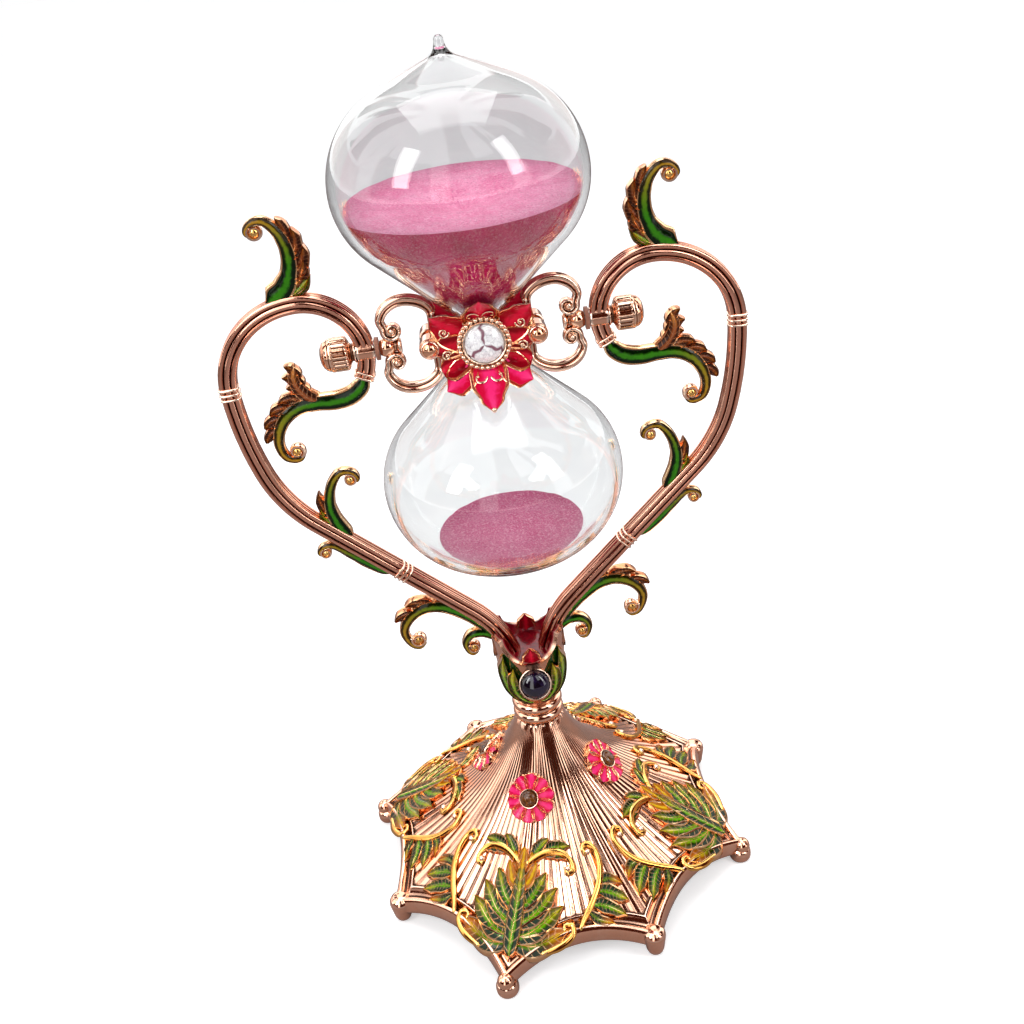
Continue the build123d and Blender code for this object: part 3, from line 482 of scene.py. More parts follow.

# %% [markdown]
# Cast and polished rose gold is never one colour. It has soft cloudy patches and fine polishing marks,
# a painted highlight on its proud ridges and brown-black painted shade with tarnish in every hollow. One group mixes
# those four.

# %% Group: patina with painted shade and highlight
patina, took, gave = new_group(
    "patina", (("Metal", COLOUR, rgb(228, 168, 138)), ("Bright", COLOUR, rgb(255, 232, 212)),
               ("Tarnish", COLOUR, rgb(38, 12, 8)), ("Roughness", FLOAT, 0.2), ("Depth", FLOAT, 1.0)),
    (("Color", COLOUR), ("Roughness", FLOAT), ("Height", FLOAT)))
where = object_place(patina)
relief = add(patina, "Attribute", attribute_name="relief").outputs["Fac"]
cloud = noise(patina, where, 160, 4.0, 0.6)
grain = noise(patina, where, 1900, 3.0, 0.7)
streak = noise(patina, add(patina, "Mapping", {"Vector": where, "Scale": (1.0, 1.0, 0.12)}).outputs[0],
               2600, 2.0)
broken = plus(patina, relief, times(patina, minus(patina, cloud, 0.5), 0.10))
# Painted shade with tarnish darkens the hollows, as far as Depth asks; proud ridges get a painted highlight.
hollow_shade_and_tarnish = times(patina, ramp(patina, broken, 0.02, 0.14), took.outputs["Depth"], clamp=True)
ridge_highlight_mask = ramp(patina, times(patina, broken, -1.0), 0.05, 0.30)
body_tone = blend(patina, ramp(patina, cloud, 0.40, 0.75, 0.0, 0.22), took.outputs["Metal"], took.outputs["Bright"])
body_tone = blend(patina, ramp(patina, grain, 0.45, 0.75, 0.0, 0.08), body_tone, took.outputs["Tarnish"])
ridge_highlight = blend(patina, times(patina, ridge_highlight_mask, 0.75), body_tone, took.outputs["Bright"])
tone = blend(patina, times(patina, hollow_shade_and_tarnish, 0.96), ridge_highlight, took.outputs["Tarnish"])
rough = plus(patina, took.outputs["Roughness"], times(patina, streak, 0.06))
rough = plus(patina, rough, times(patina, hollow_shade_and_tarnish, 0.22))
height = plus(patina, grain, times(patina, cloud, 2.0))
connect(patina, gave, {"Color": tone, "Roughness": rough, "Height": height})
print("patina group:", len(patina.nodes), "nodes")

# %% [markdown]
# Translucent enamel is coloured glass over bright metal. It is light where it lies thin near a vein and
# deep where it pools, with cloudy swirls and a few pin-sized bubbles. The second group gives that colour.

# %% Group: enamel depth
enamel_depth, took, gave = new_group(
    "enamel depth", (("Thin", COLOUR, None), ("Deep", COLOUR, None), ("Pool", FLOAT, 0.5), ("Swirl", FLOAT, 420.0)),
    (("Color", COLOUR), ("Height", FLOAT)))
where = object_place(enamel_depth)
swirl = noise(enamel_depth, where, took.outputs["Swirl"], 3.0, distortion=1.2)
share = plus(enamel_depth, took.outputs["Pool"], minus(enamel_depth, swirl, 0.5))
tone = blend(enamel_depth, ramp(enamel_depth, share, 0.0, 0.72), took.outputs["Thin"], took.outputs["Deep"])
bubbles = add(enamel_depth, "TexVoronoi", {"Vector": where, "Scale": 1300.0}).outputs["Distance"]
pin = ramp(enamel_depth, bubbles, 0.06, 0.16, 0.35, 0.0)
connect(enamel_depth, gave, {"Color": blend(enamel_depth, pin, tone, took.outputs["Thin"]), "Height": swirl})

# %% [markdown]
# Every cast leaf is swept with the same blade section, so its UV map says where things are: across the
# blade are the raised edge, the enamel and the middle vein, and along it are the root and the tip. The
# third group turns the map into masks, with slanting side veins like those of a real leaf.

# %% Group: blade map
blade_map, took, gave = new_group(
    "blade map", (("Vein", FLOAT, 0.022), ("Side veins", FLOAT, 9.0), ("Rim", FLOAT, 0.238)),
    (("Edge", FLOAT), ("Vein", FLOAT), ("Tip", FLOAT), ("Pool", FLOAT)))
uv = add(blade_map, "SeparateXYZ", {0: add(blade_map, "UVMap").outputs[0]})
half_turn = maths(blade_map, "FRACT", times(blade_map, uv.outputs["Y"], 2.0))
across = maths(blade_map, "ABSOLUTE", minus(blade_map, half_turn, 0.5))
edge = times(blade_map, minus(blade_map, across, took.outputs["Rim"]), 60.0, clamp=True)
slant = minus(blade_map, times(blade_map, uv.outputs["X"], took.outputs["Side veins"]),
              times(blade_map, across, 3.4))
side_vein = ramp(blade_map, maths(blade_map, "PINGPONG", slant, 0.5), 0.03, 0.10, 1.0, 0.0)
middle_vein = maths(blade_map, "LESS_THAN", across, took.outputs["Vein"])
veins = maths(blade_map, "MAXIMUM", middle_vein, times(blade_map, side_vein, 0.55))
connect(blade_map, gave, {"Edge": edge, "Vein": veins, "Tip": uv.outputs["X"],
                          "Pool": ramp(blade_map, across, 0.02, 0.22)})

# %% [markdown]
# Two recipes use the groups. Plain metal is the patina group alone, with its painted shade in hollows and painted
# highlight on ridges. Enamelled work lays the enamel between the metal edges of each blade, under a clear coat, and
# lets its colour run from root to tip.

# %% Recipes: metal and enamel
def new_material(name):
    made = bpy.data.materials.new(name)
    made.use_nodes = True
    made.node_tree.nodes.clear()
    tree = made.node_tree
    shader = tree.nodes.new("ShaderNodeBsdfPrincipled")
    tree.links.new(shader.outputs[0], tree.nodes.new("ShaderNodeOutputMaterial").inputs[0])
    return made, tree, shader


def bump(tree, shader, height, strength, distance=0.05):
    made = add(tree, "Bump", {"Height": height, "Strength": strength, "Distance": distance * MM})
    connect(tree, shader, {"Normal": made.outputs[0]})


def metal(name, tone, bright, shade_and_tarnish, roughness=0.18, depth=1.0):
    made, tree, shader = new_material(name)
    skin = use(tree, patina, {"Metal": tone, "Bright": bright, "Tarnish": shade_and_tarnish, "Roughness": roughness,
                              "Depth": depth})
    connect(tree, shader, {"Metallic": 1.0, "Base Color": skin.outputs["Color"],
                           "Roughness": skin.outputs["Roughness"]})
    bump(tree, shader, skin.outputs["Height"], 0.25)
    return made


def enamelled(name, thin, deep, tip_thin, tip_deep, tip_from=0.6, tip_to=0.95, veins=9.0, gilt=None, rim=0.238):
    """Enamel between raised gold edges; the colour changes from tip_from to tip_to along the blade."""
    made, tree, shader = new_material(name)
    marks = use(tree, blade_map, {"Side veins": veins, "Rim": rim})
    tip = ramp(tree, marks.outputs["Tip"], tip_from, tip_to)
    enamel = use(tree, enamel_depth, {"Thin": blend(tree, tip, thin, tip_thin),
                                      "Deep": blend(tree, tip, deep, tip_deep), "Pool": marks.outputs["Pool"]})
    tone, bright = gilt or (rgb(226, 168, 118), rgb(255, 224, 178))
    skin = use(tree, patina, {"Metal": tone, "Bright": bright, "Tarnish": rgb(52, 22, 8), "Roughness": 0.04,
                              "Depth": 0.6})
    gold = marks.outputs["Edge"]
    if veins:
        gold = maths(tree, "MAXIMUM", gold, marks.outputs["Vein"], clamp=True)
    connect(tree, shader, {
        "Base Color": blend(tree, gold, enamel.outputs["Color"], skin.outputs["Color"]), "Metallic": gold,
        "Coat Weight": ramp(tree, gold, 0.0, 1.0, 0.16, 0.0), "Coat Roughness": 0.03,
        "Specular IOR Level": ramp(tree, gold, 0.0, 1.0, 0.12, 0.5),
        "Roughness": plus(tree, 0.08, times(tree, gold, skin.outputs["Roughness"]))})
    bump(tree, shader, plus(tree, times(tree, gold, 4.0), skin.outputs["Height"]), 0.35, 0.08)
    return made


# The third colour of each metal is its painted shade with tarnish in hollows; the reeded copper gets almost twice the
# painted shade, in the grooves between its reeds.
ROSE = metal("rose_gold", rgb(236, 180, 150), rgb(255, 236, 216), rgb(34, 10, 5), 0.08)
COPPER = metal("reeded_copper", rgb(200, 116, 88), rgb(255, 212, 186), rgb(24, 4, 2), 0.08, 1.9)
BRIGHT = metal("bright_gold", rgb(234, 174, 138), rgb(255, 230, 206), rgb(54, 16, 6), 0.07, 0.9)
AMBER_GOLD = metal("amber_gold", rgb(214, 146, 62), rgb(255, 216, 132), rgb(70, 28, 4), 0.10, 1.0)
STEEL = metal("screw_metal", rgb(186, 176, 168), rgb(228, 222, 214), rgb(50, 42, 38), 0.24, 0.8)
GREEN = enamelled("green_enamel", rgb(112, 176, 16), rgb(3, 34, 2), rgb(224, 200, 36), rgb(108, 100, 4), 0.5, 0.95)
EMERALD = enamelled("emerald_enamel", rgb(104, 172, 18), rgb(2, 34, 3), rgb(214, 196, 40), rgb(84, 92, 4), 0.45, 0.95)
STALK = enamelled("stalk_enamel", rgb(48, 116, 16), rgb(2, 20, 2), rgb(164, 118, 30), rgb(46, 28, 2), 0.35, 0.9,
                  veins=0.0)
AMBER = enamelled("amber_enamel", rgb(90, 130, 14), rgb(6, 30, 2), rgb(240, 184, 40), rgb(176, 92, 4), 0.40, 0.85)
BUD = enamelled("bud_enamel", rgb(236, 190, 30), rgb(176, 104, 6), rgb(250, 214, 60), rgb(206, 136, 14), veins=0.0)
LOBE = enamelled("copper_lobe_enamel", rgb(140, 70, 32), rgb(48, 17, 5), rgb(206, 128, 52), rgb(98, 48, 16),
                 veins=11.0, gilt=(rgb(214, 140, 96), rgb(255, 210, 160)))
COPPER_RIM = (rgb(222, 150, 108), rgb(255, 216, 178))
RED = enamelled("red_enamel", rgb(224, 24, 58), rgb(170, 5, 28), rgb(232, 34, 74), rgb(190, 8, 38), veins=0.0,
                gilt=COPPER_RIM, rim=0.222)
DARK_RED = enamelled("dark_red_enamel", rgb(206, 18, 46), rgb(132, 3, 18), rgb(212, 24, 54), rgb(144, 4, 22),
                     veins=0.0, gilt=COPPER_RIM, rim=0.222)
PINK = enamelled("pink_enamel", rgb(252, 46, 122), rgb(216, 14, 60), rgb(252, 64, 134), rgb(224, 18, 76), veins=0.0,
                 gilt=COPPER_RIM, rim=0.226)
print("finishes so far:", len(bpy.data.materials))

# %% [markdown]
# The hourglass is blown from one tube: two bulbs, a pinched waist and a sealed tip. Its profile is a
# chain of arcs. The outside and the hollow inside are turned separately; the hollow is then turned
# inside out, so the wall has its true thickness and light bends at both faces.

# %% Glass profile
NECK, BULB, BULB_END, WAIST, FILLET, CONE, SHOULDER, CROWN = 3.6, 31.2, 63.4, 1.4, 4.0, 48.0, 21.8, 60.0
SIN_CONE, COS_CONE = sin(radians(CONE)), cos(radians(CONE))
cone_run = (BULB - NECK - (FILLET + SHOULDER) * (1 - COS_CONE)) / SIN_CONE
equator = WAIST + (FILLET + SHOULDER) * SIN_CONE + cone_run * COS_CONE
rise, SIN_CROWN, COS_CROWN = BULB_END - equator, sin(radians(CROWN)), cos(radians(CROWN))
crown_curve = ((BULB * (1 - SIN_CROWN) - rise * COS_CROWN)
               / ((1 - COS_CROWN) * (1 - SIN_CROWN) - SIN_CROWN * COS_CROWN))
pole_curve = (BULB - crown_curve * (1 - COS_CROWN)) / COS_CROWN
TIP_LIFT = 8.0


def bulb_profile(inset, end="round"):
    """Half profile from the waist to a round end, to a pointed hollow or to the sealed tip."""
    steps = [(0, WAIST), (FILLET + inset, -CONE), (0, cone_run), (SHOULDER - inset, CONE),
             (crown_curve - inset, CROWN)]
    if end == "round":
        return arcs((NECK - inset, 0), 90, steps + [(pole_curve - inset, 90 - CROWN)])
    steps.append((pole_curve - inset, TIP_LIFT))
    slope, reach = radians(CROWN + TIP_LIFT), arcs((NECK - inset, 0), 90, steps)[-1].x
    if end == "pointed":
        steps.append((0, (reach - 0.02) / sin(slope)))
    else:
        fillet, stem = 3.6, 1.2
        run = (reach - stem - fillet * (1 - cos(slope))) / sin(slope)
        steps += [(0, run), (fillet, -CROWN - TIP_LIFT), (0, 0.15), (stem, 90)]
    return arcs((NECK - inset, 0), 90, steps)


def below(path):
    return [Vector((p.x, -p.y)) for p in reversed(path)]


def glass_radius(height):
    """Outside radius of the glass near the waist."""
    climb = abs(height) - WAIST
    if climb < FILLET * SIN_CONE:
        return NECK + FILLET - sqrt(FILLET ** 2 - max(climb, 0.0) ** 2)
    return NECK + FILLET * (1 - COS_CONE) + (climb - FILLET * SIN_CONE) * SIN_CONE / COS_CONE


def cavity_profile(inset, bore, end="round"):
    """Hollow of the upper bulb, from the pinched bore up to its end."""
    return [Vector((bore, 0)), Vector((bore, 1.0)), Vector((NECK - inset, 1.35))] + bulb_profile(inset, end)[4:]


print("widest ring of the glass at", round(equator, 1), "mm from the waist")

# %% [markdown]
# Clear glass gets its look from its edges, its long window reflections and slight waves left by the
# blowing. A faint wave in the normal is enough; Transmission stays a plain value.

# %% Finish: blown glass
GLASS, tree, shader = new_material("blown_glass")
where = object_place(tree)
breath = ramp(tree, noise(tree, where, 60, 3.0), 0.3, 0.8)
connect(tree, shader, {"Transmission Weight": 1.0, "IOR": 1.47,
                       "Base Color": blend(tree, breath, rgb(250, 252, 252), rgb(255, 255, 255)),
                       "Roughness": ramp(tree, noise(tree, where, 500, 4.0), 0.45, 0.9, 0.0, 0.05)})
drawn_out = add(tree, "Mapping", {"Vector": where, "Scale": (1, 1, 0.35)}).outputs[0]
bump(tree, shader, noise(tree, drawn_out, 42, 1.0), 0.12, 1.5)

# %% Blow the glass
WALL, BORE = 1.7, 0.9
outer = turned("glass_outer", below(bulb_profile(0.0)) + bulb_profile(0.0, "nub")[1:], 160, along=260)
hollow_path = below(cavity_profile(WALL, BORE)) + cavity_profile(WALL, BORE, "pointed")[1:]
hollow = turned("glass_hollow", hollow_path, 160, along=240)
hollow.data.flip_normals()
glass = painted(moved(joined("glass_blown", [outer, hollow]), LEAN), GLASS)
finish(glass, "glass_carrier", ["glass"])

# %% [markdown]
# Sand lies level while its glass leans, so each heap is the hollow of a bulb cut by a level plane. The
# points of every upright line are first carried along the glass wall to that level, and then inwards
# over the top of the heap, where a shallow crater or a low mound has formed.

# %% Sand heaps
AROUND, WALL_PART = 144, 0.6
DISH_RADIUS, DISH_DEPTH, MOUND = 15.0, 3.2, 1.6


def heap(name, path, level, top):
    def carried(radius, angle, height):
        return LEAN @ Vector((radius * cos(angle), radius * sin(angle), height))

    crossings = {}

    def crossing(angle):
        if angle not in crossings:
            levels = [carried(p.x, angle, p.y) for p in path]
            i = next(k for k in range(1, len(levels)) if levels[k].z >= level)
            part = (level - levels[i - 1].z) / (levels[i].z - levels[i - 1].z)
            crossings[angle] = i - 1 + part, mix(levels[i - 1], levels[i], part)
        return crossings[angle]

    middle = mix(crossing(0.0)[1], crossing(pi)[1], 0.5)
    middle.y = mix(crossing(pi / 2)[1].y, crossing(3 * pi / 2)[1].y, 0.5)

    def place(u, v):
        angle = round(v * AROUND) / AROUND * 2 * pi % (2 * pi)
        end, shore = crossing(angle)
        if u < WALL_PART:
            step = u / WALL_PART * end
            i = min(int(step), len(path) - 2)
            point = mix(path[i], path[i + 1], step - i)
            return carried(point.x, angle, point.y)
        share = (u - WALL_PART) / (1 - WALL_PART)
        point = mix(shore, middle, share)
        return point.x, point.y, top(point, share)

    return grid(name, 100, AROUND, place)


def crater(point, share):
    """A dish with a soft rim and small slips."""
    away = min(hypot(point.x, point.y - crater_y) / DISH_RADIUS, 1.0)
    bumps = noise3(Vector((point.x, point.y, 0)) * 0.28) * 0.5 - 0.55
    return upper_level - DISH_DEPTH * (1 - away * away * (3 - 2 * away)) + bumps * min(1.0, share * 8)


def mound(point, share):
    bumps = noise3(Vector((point.x, point.y, 9)) * 0.3) * 0.5
    return lower_level + (MOUND * share * share * (3 - 2 * share) + bumps - 0.3) * min(1.0, share * 6)


SAND_UP, SAND_DEEP = 34.0, 6.3
upper_level, lower_level = PIVOT.z + SAND_UP, PIVOT.z - BULB_END + WALL + SAND_DEEP
crater_y = SAND_UP * sin(GLASS_LEAN)
sand_path = cavity_profile(1.9, 0.7)
sand_path[0] = Vector((0.0, 0.2))
upper_sand = heap("sand_upper_heap", sand_path, upper_level, crater)
lower_sand = heap("sand_lower_heap", below(bulb_profile(1.9)), lower_level, mound)

# %% [markdown]
# Coloured sand is thousands of small glassy grains, some pale, some deep, and a few that flash. Two
# cell patterns give each grain its own tone and its own tilt. By the upward normal, the top is painted
# pale with more pale grains, as lit, and the sides against the glass are painted deeper, as shaded.
# The top of the lower heap is painted darker, as shade.

# %% Finish: pink sand
SAND, tree, shader = new_material("pink_sand")
where = object_place(tree)
grains = add(tree, "TexVoronoi", {"Vector": where, "Scale": 3000.0})
coarse = add(tree, "TexVoronoi", {"Vector": where, "Scale": 900.0})
cell = add(tree, "SeparateColor", {0: grains.outputs["Color"]})
patch = noise(tree, where, 90, 4.0, 0.65)
upward = add(tree, "SeparateXYZ", {0: add(tree, "NewGeometry").outputs["Normal"]}).outputs["Z"]
# Painted light: the upward-facing top is painted paler, as lit, and the sides deeper, as shaded.
lit_top = ramp(tree, upward, 0.35, 0.8)
shaded_wall_tone = blend(tree, ramp(tree, patch, 0.3, 0.75), rgb(176, 8, 62), rgb(214, 34, 100))
lit_top_tone = blend(tree, ramp(tree, patch, 0.3, 0.7), rgb(236, 124, 168), rgb(248, 160, 196))
# Painted shade: the top of the lower heap is painted darker.
lower_heap_shade = maths(tree, "LESS_THAN", add(tree, "SeparateXYZ", {0: where}).outputs["Z"], PIVOT.z * MM)
lit_top_tone = blend(tree, times(tree, lower_heap_shade, 0.5), lit_top_tone, rgb(196, 50, 106))
tone = blend(tree, lit_top, shaded_wall_tone, lit_top_tone)
pale_grains_and_top_light = plus(tree, 0.25, times(tree, lit_top, 0.75))
pale_grains_and_top_light = times(tree, ramp(tree, cell.outputs[0], 0.55, 1.0, 0.0, 0.5), pale_grains_and_top_light)
tone = blend(tree, pale_grains_and_top_light, tone, rgb(255, 200, 224))
tone = blend(tree, ramp(tree, cell.outputs[1], 0.6, 1.0, 0.0, 0.34), tone, rgb(176, 20, 92))
connect(tree, shader, {"Base Color": tone, "Roughness": ramp(tree, cell.outputs[2], 0.85, 0.97, 0.85, 0.35),
                       "Specular IOR Level": 0.15})
bump(tree, shader, plus(tree, grains.outputs["Distance"], coarse.outputs["Distance"]), 0.4, 0.12)
for sand, node in ((upper_sand, "sand_upper"), (lower_sand, "sand_lower")):
    finish(painted(sand, SAND), "glass_carrier", [node])

# %% [markdown]
# The clamp at the waist is a flower of separate enamelled petals, curved to the glass behind them. The
# petals are blades that lie on the glass surface instead of a plane. Front and back are the same, so
# the back is a copy turned half way round the glass.

# %% Clamp petals
CARRIER_BACK = LEAN @ rotation(pi, "Z")


def on_glass(lift):
    """The petals' surface: half a millimetre off the glass, lifted a little more for upper layers."""
    def surface(across, up, out):
        return Vector((across, -(glass_radius(max(abs(up), 5.4)) + 1.35 + lift + out), up))
    return surface


def sided(side, points):
    """Points of the right side as they are, or mirrored to the left."""
    return [(side * across, up) for across, up in points]


def petal(name, points, widths, finish_with, lift=0.0, along=36):
    return painted(blade(name, points, widths, 0.72, on_glass(lift), along, PETAL), finish_with)


ROUND = [Vector((cos(a * pi / 5), sin(a * pi / 5))) for a in range(10)]


def wire(name, points, thick, finish_with, surface=heart_plane, along=40, path=None):
    return painted(sweep(name, path or smooth(points), ROUND, thick, thick, surface, along, 0.06), finish_with)


def clamp_side(side):
    """The petals and filigree of one side of the clamp."""
    pieces = [petal(name, sided(side, points), widths, enamel, lift) for name, points, widths, enamel, lift in (
        ("wing", [(2.4, 0.6), (7.6, 3.6), (12.3, 8.4)], [2.4, 4.5, 4.6, 3.4, 0.4], RED, 0.1),
        ("side_lobe", [(4.0, 0.4), (8.4, -0.2), (12.2, -0.6)], [2.4, 3.0, 3.1, 1.7], DARK_RED, 0.22),
        ("low_lobe", [(3.4, -2.6), (7.6, -4.6), (11.2, -5.8)], [2.4, 3.0, 3.1, 1.7], DARK_RED, 0.16),
        ("diagonal", [(3.4, -4.6), (7.2, -7.6), (10.6, -9.8)], [2.4, 3.5, 3.2, 0.3], PINK, 0.1))]
    for up, radius, turn in ((3.6, 1.35, 480), (-2.2, 1.3, -480)):
        coil = spiral((side * 9.4, up), radius, 0.3, 170 if side > 0 else 10, side * turn, 30)
        pieces.append(wire("side_coil", None, 0.24, BRIGHT, on_glass(0.95), 60, coil))
        pieces.append(painted(ball("coil_dot", on_glass(1.1)(side * 9.4, up, 0), 0.36, 10), BRIGHT))
    for sign, start in ((1, 6.9), (-1, 7.9)):
        drop = sided(side, [(across, sign * (start + further)) for across, further in (
            (0.3, 0.0), (1.5, 0.9), (2.9, 0.7), (3.1, -0.3), (2.3, -0.2))])
        pieces.append(wire("drop_scroll", drop, 0.22, BRIGHT, on_glass(1.0)))
    ring = turned("tab_ring", [(1.75 + 0.5 * cos(a * pi / 6), 0.5 * sin(a * pi / 6))
                               for a in range(13)], 40, along=12)
    post = turned("tab_boss", [(0, -6.6), (2.5, -6.6), (2.6, -6.2), (2.6, -0.3), (2.3, 0), (0, 0)], 40, along=20)
    for piece, forward in ((ring, -8.5), (post, -8.36)):
        pieces.append(painted(moved(piece, shift(side * TAB, forward, 0) @ FORWARD), ROSE))
    return pieces


TAB = 13.2
clamp = clamp_side(1) + clamp_side(-1)
clamp += [petal("top_petal", [(0, 3.0), (0, 7.4), (0, 11.6)], [2.8, 4.6, 4.8, 3.4, 0.3], RED, 0.34),
          petal("bottom_petal", [(0, -4.4), (0, -9.6), (0, -14.9)], [3.2, 4.8, 4.7, 3.0, 0.3], PINK, 0.34)]
tip = on_glass(1.0)(0, -14.2, 0)
clamp.append(painted(ball("tip_ball", tip, 0.65, 16), BRIGHT))
saddle = turned("saddle", [(4.2, -3.8), (5.1, -3.8), (5.1, 3.8), (4.2, 3.8), (4.2, -3.8)], 48, along=24)
clamp.append(painted(saddle, ROSE))
seat = turned("bezel_seat", [(0, 0), (6.3, 0), (6.3, 2.4), (0, 2.4)], 48, along=24)
clamp.append(painted(moved(seat, shift(0, -5.9, 0) @ FORWARD), ROSE))
flower = joined("clamp_flower_front", clamp)
finish_both(flower, "glass_carrier", "flower_clamp_front", CARRIER_BACK, LEAN)

# %% [markdown]
# In the middle of the flower sits a crystal in a beaded setting. The ring is turned, one bead is made
# and copied round, and the crystal is a low faceted dome left unsmoothed so that each facet is flat.

# %% Bezel and crystal
FACE = 8.41
TO_FRONT = shift(0, -FACE, 0) @ FORWARD


def front_setting():
    ring = turned("bezel_ring", [(4.86, 0.0), (4.86, 1.7), (5.0, 1.95), (5.25, 1.98), (5.42, 1.75), (5.5, 1.3),
                                 (6.6, 1.2), (6.62, 0.9), (6.62, 0.0), (4.86, 0.0)], 96, along=54)
    ring = painted(ring, ROSE)
    bead = painted(ball("bead", (6.08, 0, 1.6), 0.58, 12), BRIGHT)
    beads = [copy_of(bead, f"bead_{i}", rotation(2 * pi * i / 28, "Z")) for i in range(1, 28)]
    return moved(joined("setting_front", [ring, bead] + beads), TO_FRONT)


finish_both(front_setting(), "glass_carrier", "bezel_front", CARRIER_BACK, LEAN)


def faceted(name, rings, sides):
    """A cut stone from rings of (radius, height); every other ring is turned by half a facet."""
    def place(u, v):
        i = round(u * (len(rings) - 1))
        radius, height = rings[i]
        angle = 2 * pi * v + (pi / sides if i % 2 else 0)
        return radius * cos(angle), radius * sin(angle), height

    return grid(name, len(rings) - 1, sides, place)


crystal_rings = ((0.0, 0.65), (4.8, 0.65), (4.8, 1.5), (4.3, 2.0), (3.2, 2.65), (1.8, 3.0), (0.0, 3.0))
crystal = moved(faceted("crystal_stone_front", crystal_rings, 16), TO_FRONT)

# %% [markdown]
# The crystal is crackled inside, with three dark pink rays that meet in its middle. The grid's own map
# gives the way round the stone, so three rays are three bands of one repeating wave.

# %% Finish: crackled crystal
CRYSTAL, tree, shader = new_material("crystal")
where = object_place(tree)
uv = add(tree, "SeparateXYZ", {0: add(tree, "UVMap").outputs[0]})
crack = add(tree, "TexVoronoi", {"Vector": where, "Scale": 900.0}, feature="DISTANCE_TO_EDGE").outputs[0]
flake = add(tree, "TexVoronoi", {"Vector": where, "Scale": 1500.0}).outputs["Color"]
flake = add(tree, "SeparateColor", {0: flake}).outputs[0]
tone = blend(tree, flake, rgb(228, 226, 230), rgb(255, 255, 255))
tone = blend(tree, ramp(tree, crack, 0.0, 0.035, 0.6, 0.0), tone, rgb(70, 60, 74))
ray = maths(tree, "PINGPONG", plus(tree, times(tree, uv.outputs["Y"], 3.0), 0.25), 0.5)
ray = ramp(tree, times(tree, ray, minus(tree, 1.15, uv.outputs["X"])), 0.016, 0.05, 1.0, 0.0)
tone = blend(tree, times(tree, ray, 0.9), tone, rgb(110, 14, 60))
connect(tree, shader, {"Base Color": tone, "Roughness": ramp(tree, flake, 0.2, 0.9, 0.22, 0.04),
                       "Coat Weight": 1.0})
bump(tree, shader, crack, 0.5, 0.3)

painted(crystal, CRYSTAL)
flattened(*finish_both(crystal, "glass_carrier", "crystal_front", CARRIER_BACK, LEAN))

# %% [markdown]
# A bracket on each side carries the clamp to its pivot. It is two C-scrolls of twin ribs that end in
# small volutes on the pivot ball. The twin ribs are one bundle section swept along the scroll.

# %% Brackets
TWIN_RIBS = bundle([(-0.38, 0.72, 0.66), (-0.38, -0.72, 0.66), (-0.35, 0.0, 0.85), (0.62, 0.55, 0.42),
                    (0.62, -0.55, 0.42), (0.6, 0.0, 0.46)], 36)
PIVOT_BALL, EYE = 23.95, Vector((21.98, 4.04))


def bracket_scroll(side):
    """One C-scroll, above (1) or below (-1) the pivot."""
    start = [Vector(p) for p in ((11.5, 6.4), (12.4, 8.6), (14.6, 10.3), (17.6, 11.1), (20.6, 10.8), (23.2, 9.2),
                                 (24.5, 6.8))]
    path = smooth(start + spiral(EYE, 2.15, 0.5, 22, -500, 10))
    path = [Vector((p.x, side * p.y)) for p in path]
    return painted(sweep("c_scroll", path, TWIN_RIBS if side > 0 else [Vector((-p.x, p.y)) for p in TWIN_RIBS],
                         [1.2, 1.35, 1.3, 1.0, 0.7, 0.45], [1.2, 1.25, 1.25, 1.2, 1.3, 1.3], along=130), ROSE)


def bracket_pieces():
    ends = [(2.4 * cos(a), 2.4 * sin(a)) for a in (radians(-90 + 9 * i) for i in range(16))]
    pivot = turned("pivot_ball", ends + [(1.5, 1.8), (0.0, 1.8)], 40, along=40)
    pivot = moved(pivot, shift(PIVOT_BALL, 0, 0) @ SIDEWAYS)
    neck = turned("bracket_neck", [(0, 20.2), (1.7, 20.2), (2.0, 20.5), (1.9, 20.9), (1.3, 21.5), (1.3, 22.4),
                                   (0, 22.4)], 40, along=40)
    neck = moved(neck, SIDEWAYS)
    post = painted(sweep("bracket_post", smooth([(11.9, -7.6), (11.9, 0.0), (11.9, 7.6)]), TWIN_RIBS, 1.0, 1.05,
                         along=60), ROSE)
    eyes = [painted(ball("volute_eye", (EYE.x, y, side * EYE.y), 0.8, 16), BRIGHT)
            for side in (1, -1) for y in (-1.5, 1.5)]
    cores = [painted(ball("volute_core", (EYE.x, 0, side * EYE.y), 1.5, 20), COPPER) for side in (1, -1)]
    return [bracket_scroll(1), bracket_scroll(-1), painted(pivot, BRIGHT), painted(neck, ROSE), post] + eyes + cores


bracket = joined("bracket_right", bracket_pieces())
finish_both(bracket, "glass_carrier", "scroll_bracket_right", LEAN @ MIRROR_X, LEAN)

# %% [markdown]
# The thumb nuts are acorn nuts with a knurled edge. A knurl is a ripple round a turned piece: the
# radius dips in a rounded groove twenty-four times, but only along the body of the nut.

# %% Thumb nuts
NUT = [(0, 31.7), (2.65, 31.7), (2.7, 32.0), (2.2, 32.3), (2.2, 32.7), (2.8, 33.1), (3.8, 33.5), (4.15, 33.7),
       (4.28, 34.0), (4.3, 34.3), (4.3, 37.6), (4.28, 37.9), (4.1, 38.15), (3.95, 38.35), (4.0, 38.5), (3.7, 39.2),
       (3.0, 39.9), (2.0, 40.35), (1.0, 40.55), (0, 40.6)]


KNURLS, BODY_FROM, BODY_TO, RUN_IN, GROOVE = 24, 0.335, 0.62, 0.02, 0.085


def limit(value):
    return min(max(value, 0.0), 1.0)


